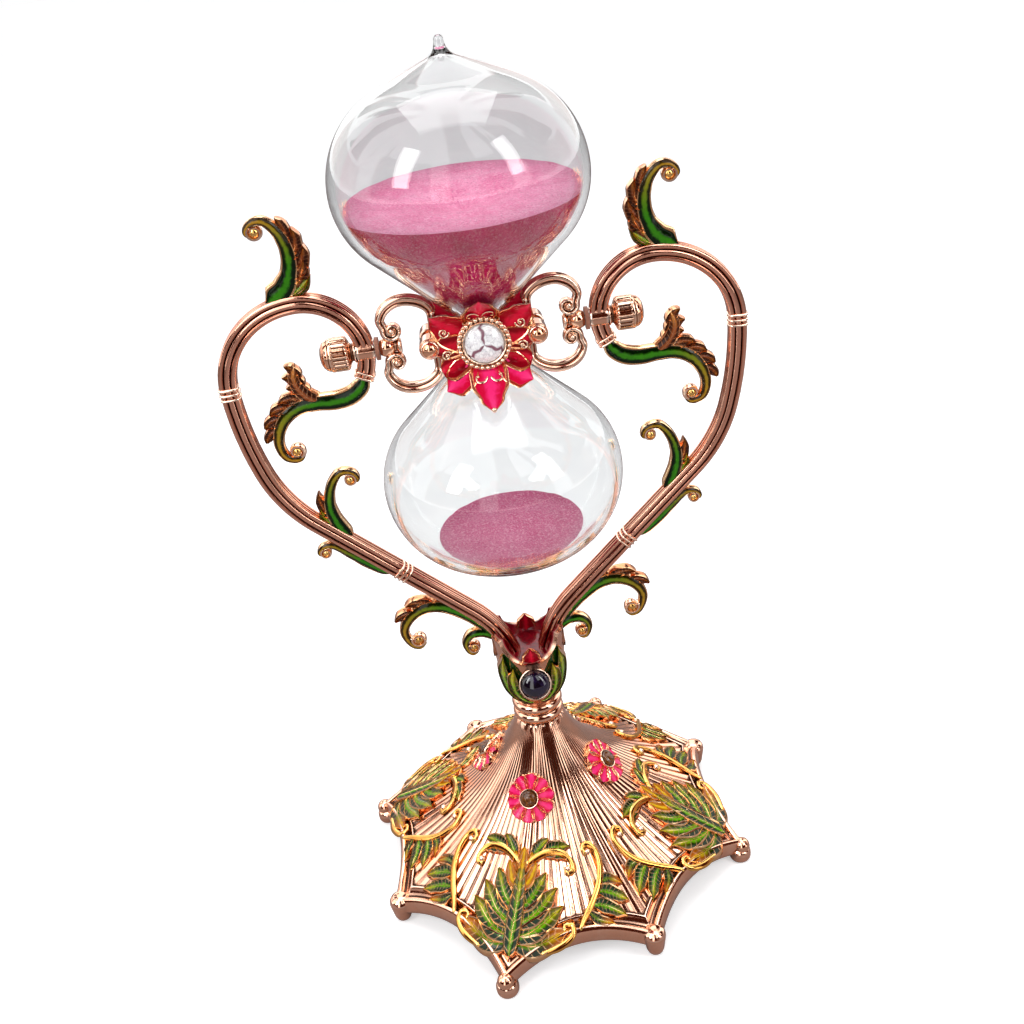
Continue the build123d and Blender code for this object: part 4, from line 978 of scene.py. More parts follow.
def knurl(angle, share):
    phase = abs((angle / (2 * pi) * KNURLS) % 1 - 0.5) * 2
    on_body = limit((share - BODY_FROM) / RUN_IN) * limit((BODY_TO - share) / RUN_IN)
    return 1.0 - GROOVE * on_body * max(0.0, 1 - phase * 2.2)


nut = moved(turned("thumb_nut_right_knurled", NUT, 192, knurl, 110), SIDEWAYS)
painted(nut, BRIGHT)
finish_both(nut, "thumb_nut_right", "thumb_nut_right", LEAN @ MIRROR_X, LEAN)

# %% [markdown]
# The heart is two bars of three reeds, bent to tangent arcs. The section is a bundle of round reeds,
# and the path repeats the real bend: the curled end by the pivot, the loop, the long flank, the foot.

# %% Heart arms
REEDS = bundle([(1.48, 1.16, 0.78), (-1.48, 1.16, 0.78), (0, 1.32, 0.80), (1.48, -1.16, 0.78), (-1.48, -1.16, 0.78),
                (0, -1.32, 0.80), (1.5, 0, 0.76), (-1.5, 0, 0.76)], 96)
REACH, LOOP, OVER = 29.2, 14.6, 20.5
CURL, LOOP_TURN, OVER_TURN = 31, 121, 90
UPPER_BEND, HIP_BEND, ANKLE_BEND = (90, -15), (38, -31), (34, 27)
FLANK_WAY, CUP_DEPTH, FLOOR_GAP, FOOT_RUN = -136, 8.4, 1.2, 4.2
end_angle = radians(180 + CURL)
arm_start = Vector((REACH + LOOP + LOOP * cos(end_angle), PIVOT.z + LOOP * sin(end_angle)))
hip_steps = [(LOOP, -LOOP_TURN), (OVER, -OVER_TURN), UPPER_BEND, HIP_BEND]
hip = arcs(arm_start, 90 + CURL, hip_steps)[-1]
cup_floor = CUP_HIGH.z - CUP_DEPTH
foot_steps = [ANKLE_BEND, (0, FOOT_RUN)]
foot = arcs((0, 0), FLANK_WAY, foot_steps)[-1]
flank = (cup_floor - FLOOR_GAP - foot.y - hip.y) / sin(radians(FLANK_WAY))
arm_path = arcs(arm_start, 90 + CURL, hip_steps + [(0, flank)] + foot_steps)
arm_walk = walk(arm_path)
print("arm centre line", round(arm_walk.length, 1), "mm; flank", round(flank, 1), "mm")


def band(spot, way):
    """One raised ring round the bar."""
    outline = [Vector((2.66 * max(-1, min(1, 1.25 * cos(a))) * (0.97 + 0.03 * cos(4 * a)),
                       2.5 * max(-1, min(1, 1.25 * sin(a))) * (0.97 + 0.03 * cos(4 * a))))
               for a in (2 * pi * i / 48 for i in range(48))]
    ring_path = [spot - way * 0.7, spot, spot + way * 0.7]
    return painted(sweep("band", ring_path, outline, 1.0, 1.0, along=10, ends=0.5), ROSE)


def bands(share, count):
    spot, way = arm_walk(share)
    return [band(spot + way * 1.35 * (i - (count - 1) / 2), way) for i in range(count)]


bar = painted(sweep("arm_bar", arm_path, REEDS, 1.0, 1.0, along=330, ends=0.004), COPPER)


def arc_share(radius, turn):
    return radians(abs(turn)) * radius / arm_walk.length


loop_share = arc_share(LOOP, LOOP_TURN)
upper_share = loop_share + arc_share(OVER, OVER_TURN)
hip_share = upper_share + arc_share(*UPPER_BEND) + arc_share(*HIP_BEND)
lower_share = hip_share + 0.541 * flank / arm_walk.length
collar_share = 0.05 * loop_share
boss = turned("arm_boss", [(0, 26.97), (2.5, 26.97), (2.6, 27.2), (2.6, 31.2), (2.5, 31.43), (0, 31.43)], 40,
              along=30)
boss = painted(moved(boss, shift(0, 0, PIVOT.z) @ SIDEWAYS), ROSE)
arm = joined("heart_arm_right_reeded",
             [bar, boss] + bands(collar_share, 2) + bands(upper_share, 3) + bands(lower_share, 3))
finish_both(arm, "stand", "heart_arm_right", MIRROR_X)

# %% [markdown]
# The leaves on the arms are castings of a stem, hooked side lobes and a curl that closes in a volute.
# Each is a few blades joined together, and every leaf on the right has its mirror copy on the left.

# %% Leaf helpers
def leaf_body(points, widths, depth=1.65, along=60, finish_with=STALK):
    depths = [depth * 0.9, depth, depth, depth * 0.8]
    return painted(blade("leaf_body", points, widths, depths, along=along, section=STEM), finish_with)


def leaf_lobe(base, tip, bulge, hook=0.25, finish_with=LOBE):
    """A side lobe: it leaves the stem straight and hooks towards its tip."""
    base, tip = Vector(base), Vector(tip)
    side = Vector((base.y - tip.y, tip.x - base.x))
    points = [base, mix(base, tip, 0.38) + side * hook * 0.75, mix(base, tip, 0.75) + side * hook * 0.55, tip]
    widths = [bulge * 0.5, bulge * 1.05, bulge * 0.9, 0.18]
    return painted(blade("leaf_lobe", points, widths, 1.35, along=26), finish_with)


def volute(centre, radius, start, turn, depth=1.5):
    """A curl that winds in to a bright ball."""
    path = spiral(centre, radius * 0.80, radius * 0.42, start, turn, 36)
    coil = painted(sweep("volute_coil", path, ROUND, [radius * 0.30, radius * 0.25, radius * 0.14],
                         [depth * 0.9, depth, depth * 0.9], along=70, ends=0.03), BRIGHT)
    heart = painted(ball("volute_heart", (centre[0], 0, centre[1]), radius * 0.62, 28), AMBER_GOLD)
    moved(heart, Matrix.Scale(depth * 1.08 / (radius * 0.62), 4, Vector((0, 1, 0))))
    return [coil, heart]


def casting(node, origin, bodies, lobes, curls):
    """A cast leaf and its mirror copy, from stems, lobes and curls measured from an origin."""
    def placed(point):
        return origin.x + point[0], origin.y + point[1]

    pieces = [leaf_body([origin + Vector(p) for p in points], *rest) for points, *rest in bodies]
    pieces += [leaf_lobe(placed(base), placed(tip), *rest) for base, tip, *rest in lobes]
    for centre, *rest in curls:
        pieces += volute(placed(centre), *rest)
    finish_both(joined(f"{node}_cast_right", pieces), "stand", f"{node}_right", MIRROR_X)

# %% Crest leaf
casting("crest_leaf", Vector((REACH + LOOP, PIVOT.z + LOOP)),
        [([(6.6, 0.6), (3.4, 2.6), (0.8, 5.2), (-1.0, 9.4), (-1.2, 14.0), (0.2, 18.2), (2.8, 20.8), (5.6, 20.8),
           (7.3, 18.9), (6.9, 17.2)], [1.4, 3.4, 2.9, 2.2, 2.0, 1.8, 1.5, 1.2, 0.9, 0.6], 1.65, 96)],
        [((2.6, 1.6), (-5.4, 6.6), 1.9, 0.12, EMERALD), ((1.4, 2.4), (-4.6, 11.0), 2.2, 0.16),
         ((-0.6, 6.6), (-4.9, 14.8), 2.0, 0.20), ((-1.2, 11.0), (-3.2, 18.6), 1.8, 0.22),
         ((-0.8, 14.6), (0.0, 21.4), 1.5, 0.24)],
        [((5.2, 18.5), 2.3, 60, -430)])

# %% Inner leaf
casting("inner_leaf", arm_start,
        [([(-0.5, 1.4), (0.6, -1.4), (3.4, -3.6), (7.4, -4.5), (12.2, -4.3), (16.7, -4.7), (20.5, -6.6),
           (23.2, -10.2), (24.2, -14.6), (23.0, -18.2), (20.0, -19.2), (17.9, -17.4)],
          [1.9, 2.4, 2.6, 2.5, 2.3, 2.1, 2.0, 1.8, 1.5, 1.3, 1.0, 0.6], 1.65, 120),
         ([(9.6, -4.8), (12.6, -3.6), (15.6, -0.6), (16.8, 3.0), (15.8, 7.0)], [1.0, 2.3, 2.1, 1.6, 0.3], 1.5, 50,
          LOBE)],
        [((13.6, -2.4), (19.4, 0.8), 1.7), ((14.8, -0.2), (19.8, 3.8), 1.6), ((15.6, 2.2), (18.6, 6.8), 1.3),
         ((15.4, -3.6), (22.4, -3.4), 1.6), ((18.4, -5.2), (25.0, -6.0), 1.6), ((21.4, -7.4), (26.9, -9.6), 1.5),
         ((23.0, -10.2), (27.2, -13.6), 1.4)],
        [((20.2, -16.9), 2.3, 250, -430)])

# %% Middle and outer scrolls
LOWER_BAND = arm_walk(lower_share)[0]
casting("mid_scroll", LOWER_BAND,
        [([(12.0, 13.4), (14.4, 18.6), (15.4, 24.0), (14.2, 29.4), (11.4, 33.2), (8.2, 33.2), (6.7, 31.2),
           (7.4, 29.6)], [2.2, 2.2, 1.9, 1.6, 1.4, 1.2, 0.9, 0.6], 1.55, 84)],
        [((13.0, 15.4), (18.2, 24.2), 1.6, -0.16, EMERALD), ((14.6, 20.0), (17.6, 28.8), 1.4, -0.18)],
        [((8.8, 31.0), 2.1, 70, 420)])
casting("outer_scroll", LOWER_BAND,
        [([(3.2, 0.2), (8.2, 4.3), (13.0, 8.6), (16.8, 11.8), (19.6, 11.9), (21.1, 10.2), (20.4, 8.7)],
          [1.0, 1.7, 1.8, 1.5, 1.2, 0.9, 0.6], 1.5, 64)],
        [],
        [((19.3, 10.0), 1.9, 70, -420)])

# %% Lower scrolls
ankle_share = hip_share + flank / arm_walk.length + arc_share(*ANKLE_BEND)
casting("lower_scroll", arm_walk(ankle_share)[0],
        [([(2.6, 2.6), (6.6, 8.4), (11.2, 13.0), (16.8, 16.4), (21.8, 16.7), (26.2, 14.2), (28.4, 10.2),
           (27.6, 6.0), (25.2, 3.7), (22.9, 4.6)], [1.3, 1.8, 2.0, 2.1, 2.1, 2.0, 1.7, 1.4, 1.1, 0.7], 1.6, 110),
         ([(2.2, 2.4), (6.4, 5.2), (10.2, 5.0), (12.0, 2.2), (10.8, -1.2), (8.6, -1.2)],
          [1.2, 1.6, 1.6, 1.2, 1.0, 0.6], 1.5, 64)],
        [((8.6, 10.2), (13.8, 16.8), 1.4, 0.2, EMERALD), ((12.6, 13.4), (19.6, 18.8), 1.5, 0.2),
         ((18.4, 16.2), (27.2, 18.2), 1.5), ((23.4, 15.0), (30.8, 13.4), 1.4)],
        [((24.9, 6.3), 2.6, 30, -430), ((9.8, 0.8), 2.2, 40, -430)])

# %% [markdown]
# The cup is a tulip of four tall lobes. It is one turned grid, out over the lip and back down inside,
# whose lip height changes round it: low where the arms pass, notched over the gem, high on the lobes.
# The lobes swell a little, and a recessed almond of green enamel is pressed into each.

# %% Cup shape
CUP_Z, CUP_TOP, NOTCH, SLOT_HALF = CUP_LOW.z, CUP_HIGH.z, 8.0, 2.3
FOOT_RADIUS, LIP_RADIUS, MOUTH_RADIUS, FLOOR_RADIUS = 6.4, 10.4, 9.15, 7.95
FOOT_END, OUTSIDE_RUN, LIP_AT, INSIDE_RUN, MOUTH_RUN = 0.06, 0.60, 0.66, 0.34, 0.8
CUP_OUTSIDE = walk(smooth([(6.4, CUP_Z), (7.0, CUP_Z + 0.9), (9.2, CUP_Z + 5.8), (10.15, CUP_Z + 11.0),
                           (10.2, CUP_Z + 14.0), (10.35, CUP_Z + 20.0), (10.8, CUP_TOP)], 14))


def lip_height(angle, radius):
    """The top edge of the cup round its axis."""
    x, y = radius * cos(angle), radius * sin(angle)
    lip = CUP_TOP
    if abs(x) < NOTCH:
        lip = min(lip, CUP_TOP + 1.0 - sqrt(NOTCH ** 2 - x * x))
    slot = limit((abs(y) - SLOT_HALF) / 0.5)
    return mix(cup_floor + 0.2, lip, slot)


def almond(angle, height):
    """1 inside the enamelled almond of a lobe, 0 outside, with a short slope between."""
    lobe = (degrees(angle) % 90 - 45) / 45
    share = (height - CUP_Z - 2.2) / 19.6
    if not 0 < share < 1:
        return 0.0
    width = 0.72 * sin(pi * share ** 0.85) ** 0.75
    return limit((width - abs(lobe)) / 0.10)


def cup_place(u, v):
    """Out under the foot, up the outside, over the lip, down inside and in over the floor."""
    angle = 2 * pi * v
    lip = lip_height(angle, LIP_RADIUS)
    if u < FOOT_END:
        radius, height = FOOT_RADIUS * u / FOOT_END, CUP_Z
    elif u <= LIP_AT:
        share = (u - FOOT_END) / OUTSIDE_RUN
        point, _ = CUP_OUTSIDE(share)
        squeeze = (lip - CUP_Z) / (CUP_TOP - CUP_Z)
        height = CUP_Z + (point.y - CUP_Z) * (1 - (1 - squeeze) * share ** 3)
        inside = almond(angle, height)
        edge = 4 * inside * (1 - inside)
        lobes = 0.22 * cos(4 * (angle - pi / 4)) - 0.10
        radius = point.x + lobes * min(1.0, (u - FOOT_END) * 4) - 0.55 * inside + 0.18 * edge
        if u > LIP_AT - 0.03:
            radius += 0.15
    elif u < LIP_AT + MOUTH_RUN * INSIDE_RUN:
        share = (u - LIP_AT) / INSIDE_RUN / MOUTH_RUN
        radius, height = mix(MOUTH_RADIUS, FLOOR_RADIUS, share), mix(lip, cup_floor, share)
    else:
        share = (u - LIP_AT) / INSIDE_RUN
        radius, height = FLOOR_RADIUS * (1 - (share - MOUTH_RUN) / (1 - MOUTH_RUN)), cup_floor
    return radius * cos(angle), radius * sin(angle), height


cup_body = grid("cup_body", 150, 288, cup_place)

# %% [markdown]
# Where a pattern was pressed into the metal, the finish has to follow the same rule as the shape. The
# almonds are therefore stored as a second number per point, and the cup's finish mixes enamel and
# metal by it.

# %% Finish: cup
def mark(piece, name, rule):
    """Store a number per point, worked out from its place in millimetres."""
    values = [float(rule(vertex.co / MM)) for vertex in piece.data.vertices]
    piece.data.attributes.new(name, "FLOAT", "POINT").data.foreach_set("value", values)


def cup_zone(point):
    """1 on the green almonds, -1 on the red inside, 0 on bare metal."""
    angle, radius = atan2(point.y, point.x), hypot(point.x, point.y)
    if point.z > cup_floor - 0.5 and radius < CUP_OUTSIDE(0.9)[0].x - 1.2:
        return -1.0
    return almond(angle % (2 * pi), point.z)


def pressed(name, attribute, thin, deep, under_thin, under_deep):
    """Metal with enamel where the attribute is 1, and a second enamel where it is -1."""
    made, tree, shader = new_material(name)
    zone = add(tree, "Attribute", attribute_name=attribute).outputs["Fac"]
    skin = use(tree, patina, {"Metal": rgb(226, 166, 136), "Bright": rgb(255, 218, 190),
                              "Tarnish": rgb(44, 16, 10), "Roughness": 0.18, "Depth": 1.1})
    upper, under = ramp(tree, zone, 0.55, 0.85), ramp(tree, zone, -0.9, -0.4, 1.0, 0.0)
    one = use(tree, enamel_depth, {"Thin": thin, "Deep": deep, "Pool": ramp(tree, zone, 0.7, 1.0)})
    two = use(tree, enamel_depth, {"Thin": under_thin, "Deep": under_deep, "Pool": 0.5})
    colour = blend(tree, upper, skin.outputs["Color"], one.outputs["Color"])
    colour = blend(tree, under, colour, two.outputs["Color"])
    covered = maths(tree, "MAXIMUM", upper, under)
    connect(tree, shader, {
        "Base Color": colour, "Metallic": minus(tree, 1.0, covered), "Roughness": skin.outputs["Roughness"],
        "Coat Weight": ramp(tree, covered, 0.0, 1.0, 0.0, 0.35), "Coat Roughness": 0.05,
        "Specular IOR Level": ramp(tree, covered, 0.0, 1.0, 0.5, 0.22)})
    bump(tree, shader, skin.outputs["Height"], 0.25)
    return made


CUP_FINISH = pressed("cup_enamel", "zone", rgb(150, 150, 24), rgb(12, 52, 10), rgb(190, 20, 44),
                     rgb(110, 6, 24))
mark(cup_body, "zone", cup_zone)
painted(cup_body, CUP_FINISH)

# %% Cup petals and gem seats
def on_cup(lift):
    """Front surface of the cup: places are across and height."""
    def surface(across, up, out):
        share = limit((up - CUP_Z) / (CUP_TOP - CUP_Z))
        radius = CUP_OUTSIDE(share)[0].x + lift + out
        across = max(-radius * 0.98, min(radius * 0.98, across))
        return Vector((across, -sqrt(radius * radius - across * across), up))
    return surface


GEM = shift(0, -11.8, 72.5) @ rotation(radians(65), "X")


def cup_front():
    pieces = []
    centre = painted(blade("cup_petal", [(0, cup_floor - 2.0), (0, cup_floor + 1.6), (0, cup_floor + 5.9)],
                           [2.2, 3.3, 2.6, 0.3], 0.7, lambda a, b, out: Vector((a, -8.7 - out, b)), 36), DARK_RED)
    pieces.append(centre)
    for side in (-1, 1):
        sepal = sided(side, [(0.9, 63.4), (3.6, 64.6), (5.7, 68.0), (6.3, 72.4), (5.6, 77.2)])
        pieces.append(painted(blade("sepal", sepal, [0.8, 1.6, 1.8, 1.5, 0.3], 0.75, on_cup(0.3), 44), GREEN))
        leaf = sided(side, [(5.2, 63.0), (7.6, 67.4), (8.6, 73.4), (8.0, 80.4)])
        pieces.append(painted(blade("cup_leaf", leaf, [0.7, 1.5, 1.5, 0.3], 0.7, on_cup(0.15), 44), EMERALD))
    seat = turned("gem_seat", [(0, -3.4), (4.3, -3.4), (4.7, -3.0), (4.7, -0.4), (4.55, -0.1), (4.3, 0.0),
                               (4.05, -0.2), (3.96, -0.8), (0, -0.85)], 64, along=60)
    pieces.append(painted(moved(seat, GEM), ROSE))
    return pieces


front = cup_front()
back = [copy_of(piece, piece.name + "_back", rotation(pi, "Z")) for piece in front]
cup = joined("tulip_cup_enamelled", [cup_body] + front + back)
finish(cup, "stand", ["tulip_cup"])

# %% [markdown]
# The gem in the cup is a cabochon: a smooth dome of dark blue-black glass with a faint cloud and a
# lighter rim where light enters at the girdle.

# %% Cabochons
DARK_STONE, tree, shader = new_material("dark_stone")
where = object_place(tree)
cloud = noise(tree, where, 260, 4.0, 0.6, 1.5)
tone = blend(tree, ramp(tree, cloud, 0.4, 0.75), rgb(8, 6, 18), rgb(34, 26, 62))
edge_on = add(tree, "LayerWeight", {"Blend": 0.35}).outputs["Facing"]
tone = blend(tree, ramp(tree, edge_on, 0.3, 0.95, 0.0, 0.35), tone, rgb(90, 96, 140))
wear = ramp(tree, noise(tree, where, 900), 0.4, 0.8, 0.04, 0.12)
connect(tree, shader, {"Base Color": tone, "Roughness": wear, "Coat Weight": 0.5})
bump(tree, shader, cloud, 0.08, 0.2)
gem = turned("cabochon_front", [(0, -0.75), (3.86, -0.75), (3.9, -0.5), (3.9, 0.1)] +
             [(3.9 * cos(a), 0.1 + 2.1 * sin(a)) for a in (radians(5 * i) for i in range(1, 19))], 96,
             along=70)
moved(gem, GEM)
painted(gem, DARK_STONE)
finish_both(gem, "stand", "cup_gem_front", rotation(pi, "Z"))

# %% Collar
collar_profile = [(0, 53.1), (5.75, 53.05), (6.9, 53.3)]
for low in (54.85, 58.35):
    collar_profile += [(5.75 + 1.75 * cos(a), low + 1.75 * sin(a)) for a in
                       (radians(-70 + 14 * i) for i in range(11))]
collar_profile += [(5.9, 60.18), (0, 60.18)]
collar = turned("neck_collar_turned", collar_profile, 96, along=120)
finish(painted(collar, ROSE), "stand", ["neck_collar"])

# %% [markdown]
# The base is an umbrella: a steep fluted dome that flattens towards a hem of eight hollow scallops.
# Its grid runs from the middle outwards. Round it, the hem's reach changes; along it, the flutes are
# narrow grooves that fade near the top, and the rim is a thin line, a hollow cove and a thick roll.

# %% Hem and dome measures
BASE_TURN = radians(-20.6)
BALL_TIP, PLAIN_TIP, SCALLOP, RIM, TIP_SHARE = 60.4, 57.6, 49.5, 4.8, 1.55


def circle_through(a, b, c):
    """Centre and radius of the circle through three flat points."""
    d = 2 * (a.x * (b.y - c.y) + b.x * (c.y - a.y) + c.x * (a.y - b.y))
    squares = a.length_squared, b.length_squared, c.length_squared
    x = (squares[0] * (b.y - c.y) + squares[1] * (c.y - a.y) + squares[2] * (a.y - b.y)) / d
    y = (squares[0] * (c.x - b.x) + squares[1] * (a.x - c.x) + squares[2] * (b.x - a.x)) / d
    return Vector((x, y)), (a - Vector((x, y))).length


def ray_point(reach, bearing):
    return Vector((reach * cos(radians(bearing)), reach * sin(radians(bearing))))


def hem_reach(angle, inset):
    """Distance of the hem from the axis at an angle in radians, drawn inwards by inset."""
    angle = angle % (pi / 2)
    mirrored = min(angle, pi / 2 - angle)
    centre, radius = circle_through(ray_point(BALL_TIP - inset * TIP_SHARE, 0), ray_point(SCALLOP - inset, 22.5),
                                    ray_point(PLAIN_TIP - inset * TIP_SHARE, 45))
    way = Vector((cos(mirrored), sin(mirrored)))
    middle = way.dot(centre)
    return middle - sqrt(max(0.0, middle ** 2 - centre.length_squared + radius ** 2))


shell_tree = BVHTree.FromObject(frame["nodes"]["base_shell"], bpy.context.evaluated_depsgraph_get())
dome_samples, ABOVE, LAST = [], 0.08, 52
for i in range(LAST + 2):
    reach = max(i, 4) * MM
    start = Vector((reach * cos(BASE_TURN), reach * sin(BASE_TURN), ABOVE))
    dome_samples.append(shell_tree.ray_cast(start, Vector((0, 0, -1)))[0].z / MM)
slope_out = (dome_samples[LAST] - dome_samples[LAST - 6]) / 6
dome_samples[LAST + 1] = dome_samples[LAST] + slope_out


def dome(reach):
    """Height of the dome's surface at a distance from the axis."""
    if reach >= LAST:
        return dome_samples[LAST] + slope_out * (reach - LAST) * (1 - 0.004 * (reach - LAST))
    i = int(reach)
    return mix(dome_samples[i], dome_samples[i + 1], reach - i)


print("dome height at 10, 30 and 50 mm:", [round(dome(r), 1) for r in (10, 30, 50)])

# %% Fluted shell
FLUTES, FLUTE_FROM, FLUTE_DEPTH, PROUD = 96, 5.0, 0.0135, 0.12
FIELD_END, RIM_END, HUB, BORE_RADIUS, LOWEST = 0.5, 0.8, 4.0, 2.3, 0.35
EDGE_THICK, SHELL_THICK, EDGE_SHARE = 4.1, 2.6, 0.88
RIM_LINE = ((0.0, 0.0), (0.03, 0.4), (0.08, 0.55), (0.13, 0.35), (0.20, -0.3), (0.31, -0.8), (0.42, -0.8),
            (0.50, -0.4), (0.56, 0.15), (0.64, 0.75), (0.74, 1.1), (0.84, 1.0), (0.92, 0.55), (0.98, -0.3),
            (1.0, -1.4), (0.99, -2.6), (0.95, -3.6), (0.88, -4.1))


def shell_place(u, v):
    angle = 2 * pi * v
    field, hem = hem_reach(angle, RIM), hem_reach(angle, 0.0)
    if u <= FIELD_END:
        reach = field * (u / FIELD_END) ** 0.9
        flute = abs((v * FLUTES) % 1 - 0.5) * 2
        height = dome(max(reach, HUB)) + PROUD - FLUTE_DEPTH * max(0.0, reach - FLUTE_FROM) * flute
    elif u <= RIM_END:
        spot = (u - FIELD_END) / 0.3 * (len(RIM_LINE) - 1)
        i = min(int(spot), len(RIM_LINE) - 2)
        share, lift = (mix(a, b, spot - i) for a, b in zip(RIM_LINE[i], RIM_LINE[i + 1]))
        reach = mix(field, hem, share)
        height = dome(reach) + lift
    else:
        share = (u - RIM_END) / 0.2
        reach = mix(mix(field, hem, EDGE_SHARE), BORE_RADIUS, share)
        height = dome(max(reach, HUB)) - mix(EDGE_THICK, SHELL_THICK, min(1.0, share * 5))
    height = max(height, LOWEST)
    return reach * cos(angle + BASE_TURN), reach * sin(angle + BASE_TURN), height


shell = grid("base_shell_fluted", 150, FLUTES * 8, shell_place)

# %% [markdown]
# Four tips of the hem rest on balls and four end in plain rounded noses. The dome underneath is a shell
# with a boss for the screw that holds the cup.

# %% Balls, noses and boss
tips = []
foot_ball = ball("foot_ball", (BALL_TIP - 1.2, 0, 5.0), 2.45, 40)
socket = turned("foot_barrel", [(0, 0), (2.3, 0), (2.9, 0.3), (3.2, 0.9), (3.3, 1.8), (3.25, 2.9), (2.9, 3.8),
                                (2.2, 4.4), (0, 4.6)], 48, along=48)
moved(socket, shift(BALL_TIP - 1.8, 0, 0))
nose_x = PLAIN_TIP - 2.7
top = dome(nose_x)
nose = turned("nose", [(0, 0.8), (1.8, 0.8), (2.2, 1.1), (2.6, 2.2), (3.1, top - 2.6), (3.3, top - 1.2),
                       (3.25, top - 0.2), (2.8, top + 0.7), (1.9, top + 1.35), (0.9, top + 1.6), (0, top + 1.65)],
              48, along=60)
moved(nose, shift(nose_x, 0, 0))
for k in range(4):
    for piece, turn in ((foot_ball, 90 * k), (socket, 90 * k), (nose, 90 * k + 45)):
        twin = copy_of(piece, f"{piece.name}_{k + 1}", rotation(BASE_TURN + radians(turn), "Z"))
        tips.append(painted(twin, BRIGHT if piece is foot_ball else ROSE))
for piece in (foot_ball, socket, nose):
    bpy.data.objects.remove(piece)
boss_low, boss_high = 42.0, 52.4
base_boss = turned("base_boss", [(2.3, boss_low), (5.6, boss_low), (6.0, boss_low + 0.4), (6.0, boss_high),
                                 (2.3, boss_high), (2.3, boss_low)], 48, along=60)
shell = joined("base_shell_fluted", [painted(shell, ROSE), painted(base_boss, ROSE)] + tips)
finish(shell, "stand", ["base_shell"])

# %% [markdown]
# The enamelled leaves lie on the dome. Each point of a blade has a distance and a side step on the plan
# of the base, is turned to its own corner, and is then lifted by the height of the dome beneath it.

# %% Leaves at the ball tips
FLOWER_REACH, FLOWER_RADIUS = 18.0, 7.1
INNER_RING = FLOWER_REACH + FLOWER_RADIUS + 0.4


def on_dome(turn, lift=0.35):
    turn = radians(turn) + BASE_TURN

    def surface(reach, aside, out):
        x = reach * cos(turn) - aside * sin(turn)
        y = reach * sin(turn) + aside * cos(turn)
        return Vector((x, y, dome(hypot(x, y)) + lift + out))
    return surface


BALL_FIELD, PLAIN_FIELD = BALL_TIP - RIM * TIP_SHARE, PLAIN_TIP - RIM * TIP_SHARE


def field(outer, points, side=1):
    """Points given as (share of the way from the flower ring to the rim, step aside)."""
    return [(INNER_RING + share * (outer - INNER_RING), side * aside) for share, aside in points]


def dome_blade(name, points, widths, finish_with, depth=1.15, lift=0.35, along=36):
    return painted(blade(name, points, widths, depth, on_dome(0, lift), along), finish_with)


def base_leaf():
    """The leaf of one ball tip, drawn at the first tip."""
    pieces = [dome_blade("leaf_middle", field(BALL_FIELD, [(1.05, 0), (0.86, 0), (0.60, 0), (0.42, 0), (0.25, 0)]),
                         [2.0, 2.5, 2.4, 2.0, 0.8], GREEN, 1.3, 0.85, 60)]
    for side in (-1, 1):
        for root, middle, tip, bulge, enamel, lift in (
                ((0.94, 1.0), (0.90, 7.4), (0.71, 16.6), 2.6, AMBER, 0.30),
                ((0.90, 1.0), (0.76, 6.8), (0.53, 13.6), 2.6, GREEN, 0.40),
                ((0.78, 0.8), (0.63, 5.8), (0.39, 11.0), 2.4, GREEN, 0.50),
                ((0.65, 0.6), (0.49, 4.2), (0.29, 7.4), 2.2, EMERALD, 0.60),
                ((0.46, 0.5), (0.36, 2.6), (0.23, 4.2), 1.5, BUD, 0.70)):
            points = field(BALL_FIELD, [root, (middle[0] + 0.03, middle[1]), tip], side)
            pieces.append(dome_blade("leaf_lobe", points, [bulge * 0.75, bulge * 1.15, bulge * 0.95, 0.25], enamel,
                                     lift=lift, along=42))
        hook = field(BALL_FIELD, [(0.99, 9.0), (0.88, 14.4), (0.76, 17.2), (0.68, 16.6), (0.70, 14.6),
                                  (0.76, 14.9)], side)
        pieces.append(wire("leaf_hook", hook, [0.6, 0.85, 0.8, 0.5], AMBER_GOLD, on_dome(0, 0.7), 60))
        tendril = field(BALL_FIELD, [(0.27, 0.8), (0.20, 3.0), (0.13, 6.4), (0.10, 10.4), (0.13, 13.2), (0.20, 14.6),
                                     (0.245, 13.4), (0.21, 12.3)], side)
        pieces.append(wire("tendril", tendril, [0.95, 0.85, 0.8, 0.6], AMBER_GOLD, on_dome(0, 0.7), 70))
        knob = on_dome(0, 0.95)(*field(BALL_FIELD, [(0.21, 13.1)], side)[0], 0)
        pieces.append(painted(ball("tendril_ball", knob, 0.9, 14), BRIGHT))
        for root, tip, bulge in (((0.20, 2.4), (0.01, 6.6), 1.7), ((0.15, 5.4), (0.02, 12.8), 1.8),
                                 ((0.14, 7.4), (0.13, 13.4), 1.1)):
            middle = ((root[0] + tip[0]) / 2 - 0.02, (root[1] + tip[1]) / 2)
            pieces.append(dome_blade("twin_leaf", field(BALL_FIELD, [root, middle, tip], side),
                                     [0.6 * bulge, 1.1 * bulge, 0.8 * bulge, 0.2], EMERALD, 0.9))
        crown = field(BALL_FIELD, [(0.32, 0.6), (0.24, 2.0), (0.15, 2.6)], side)
        pieces.append(dome_blade("crown_petal", crown, [1.0, 1.4, 0.9, 0.2], BUD, 1.1, 0.6))
    bud = field(BALL_FIELD, [(0.34, 0), (0.23, 0), (0.12, 0)])
    pieces.append(dome_blade("bud", bud, [1.2, 2.0, 1.5, 0.3], BUD, 1.3, 0.75))
    return joined("base_leaf_cast", pieces)


finish_round((base_leaf(), "base_leaf", "leaf_enamel"))

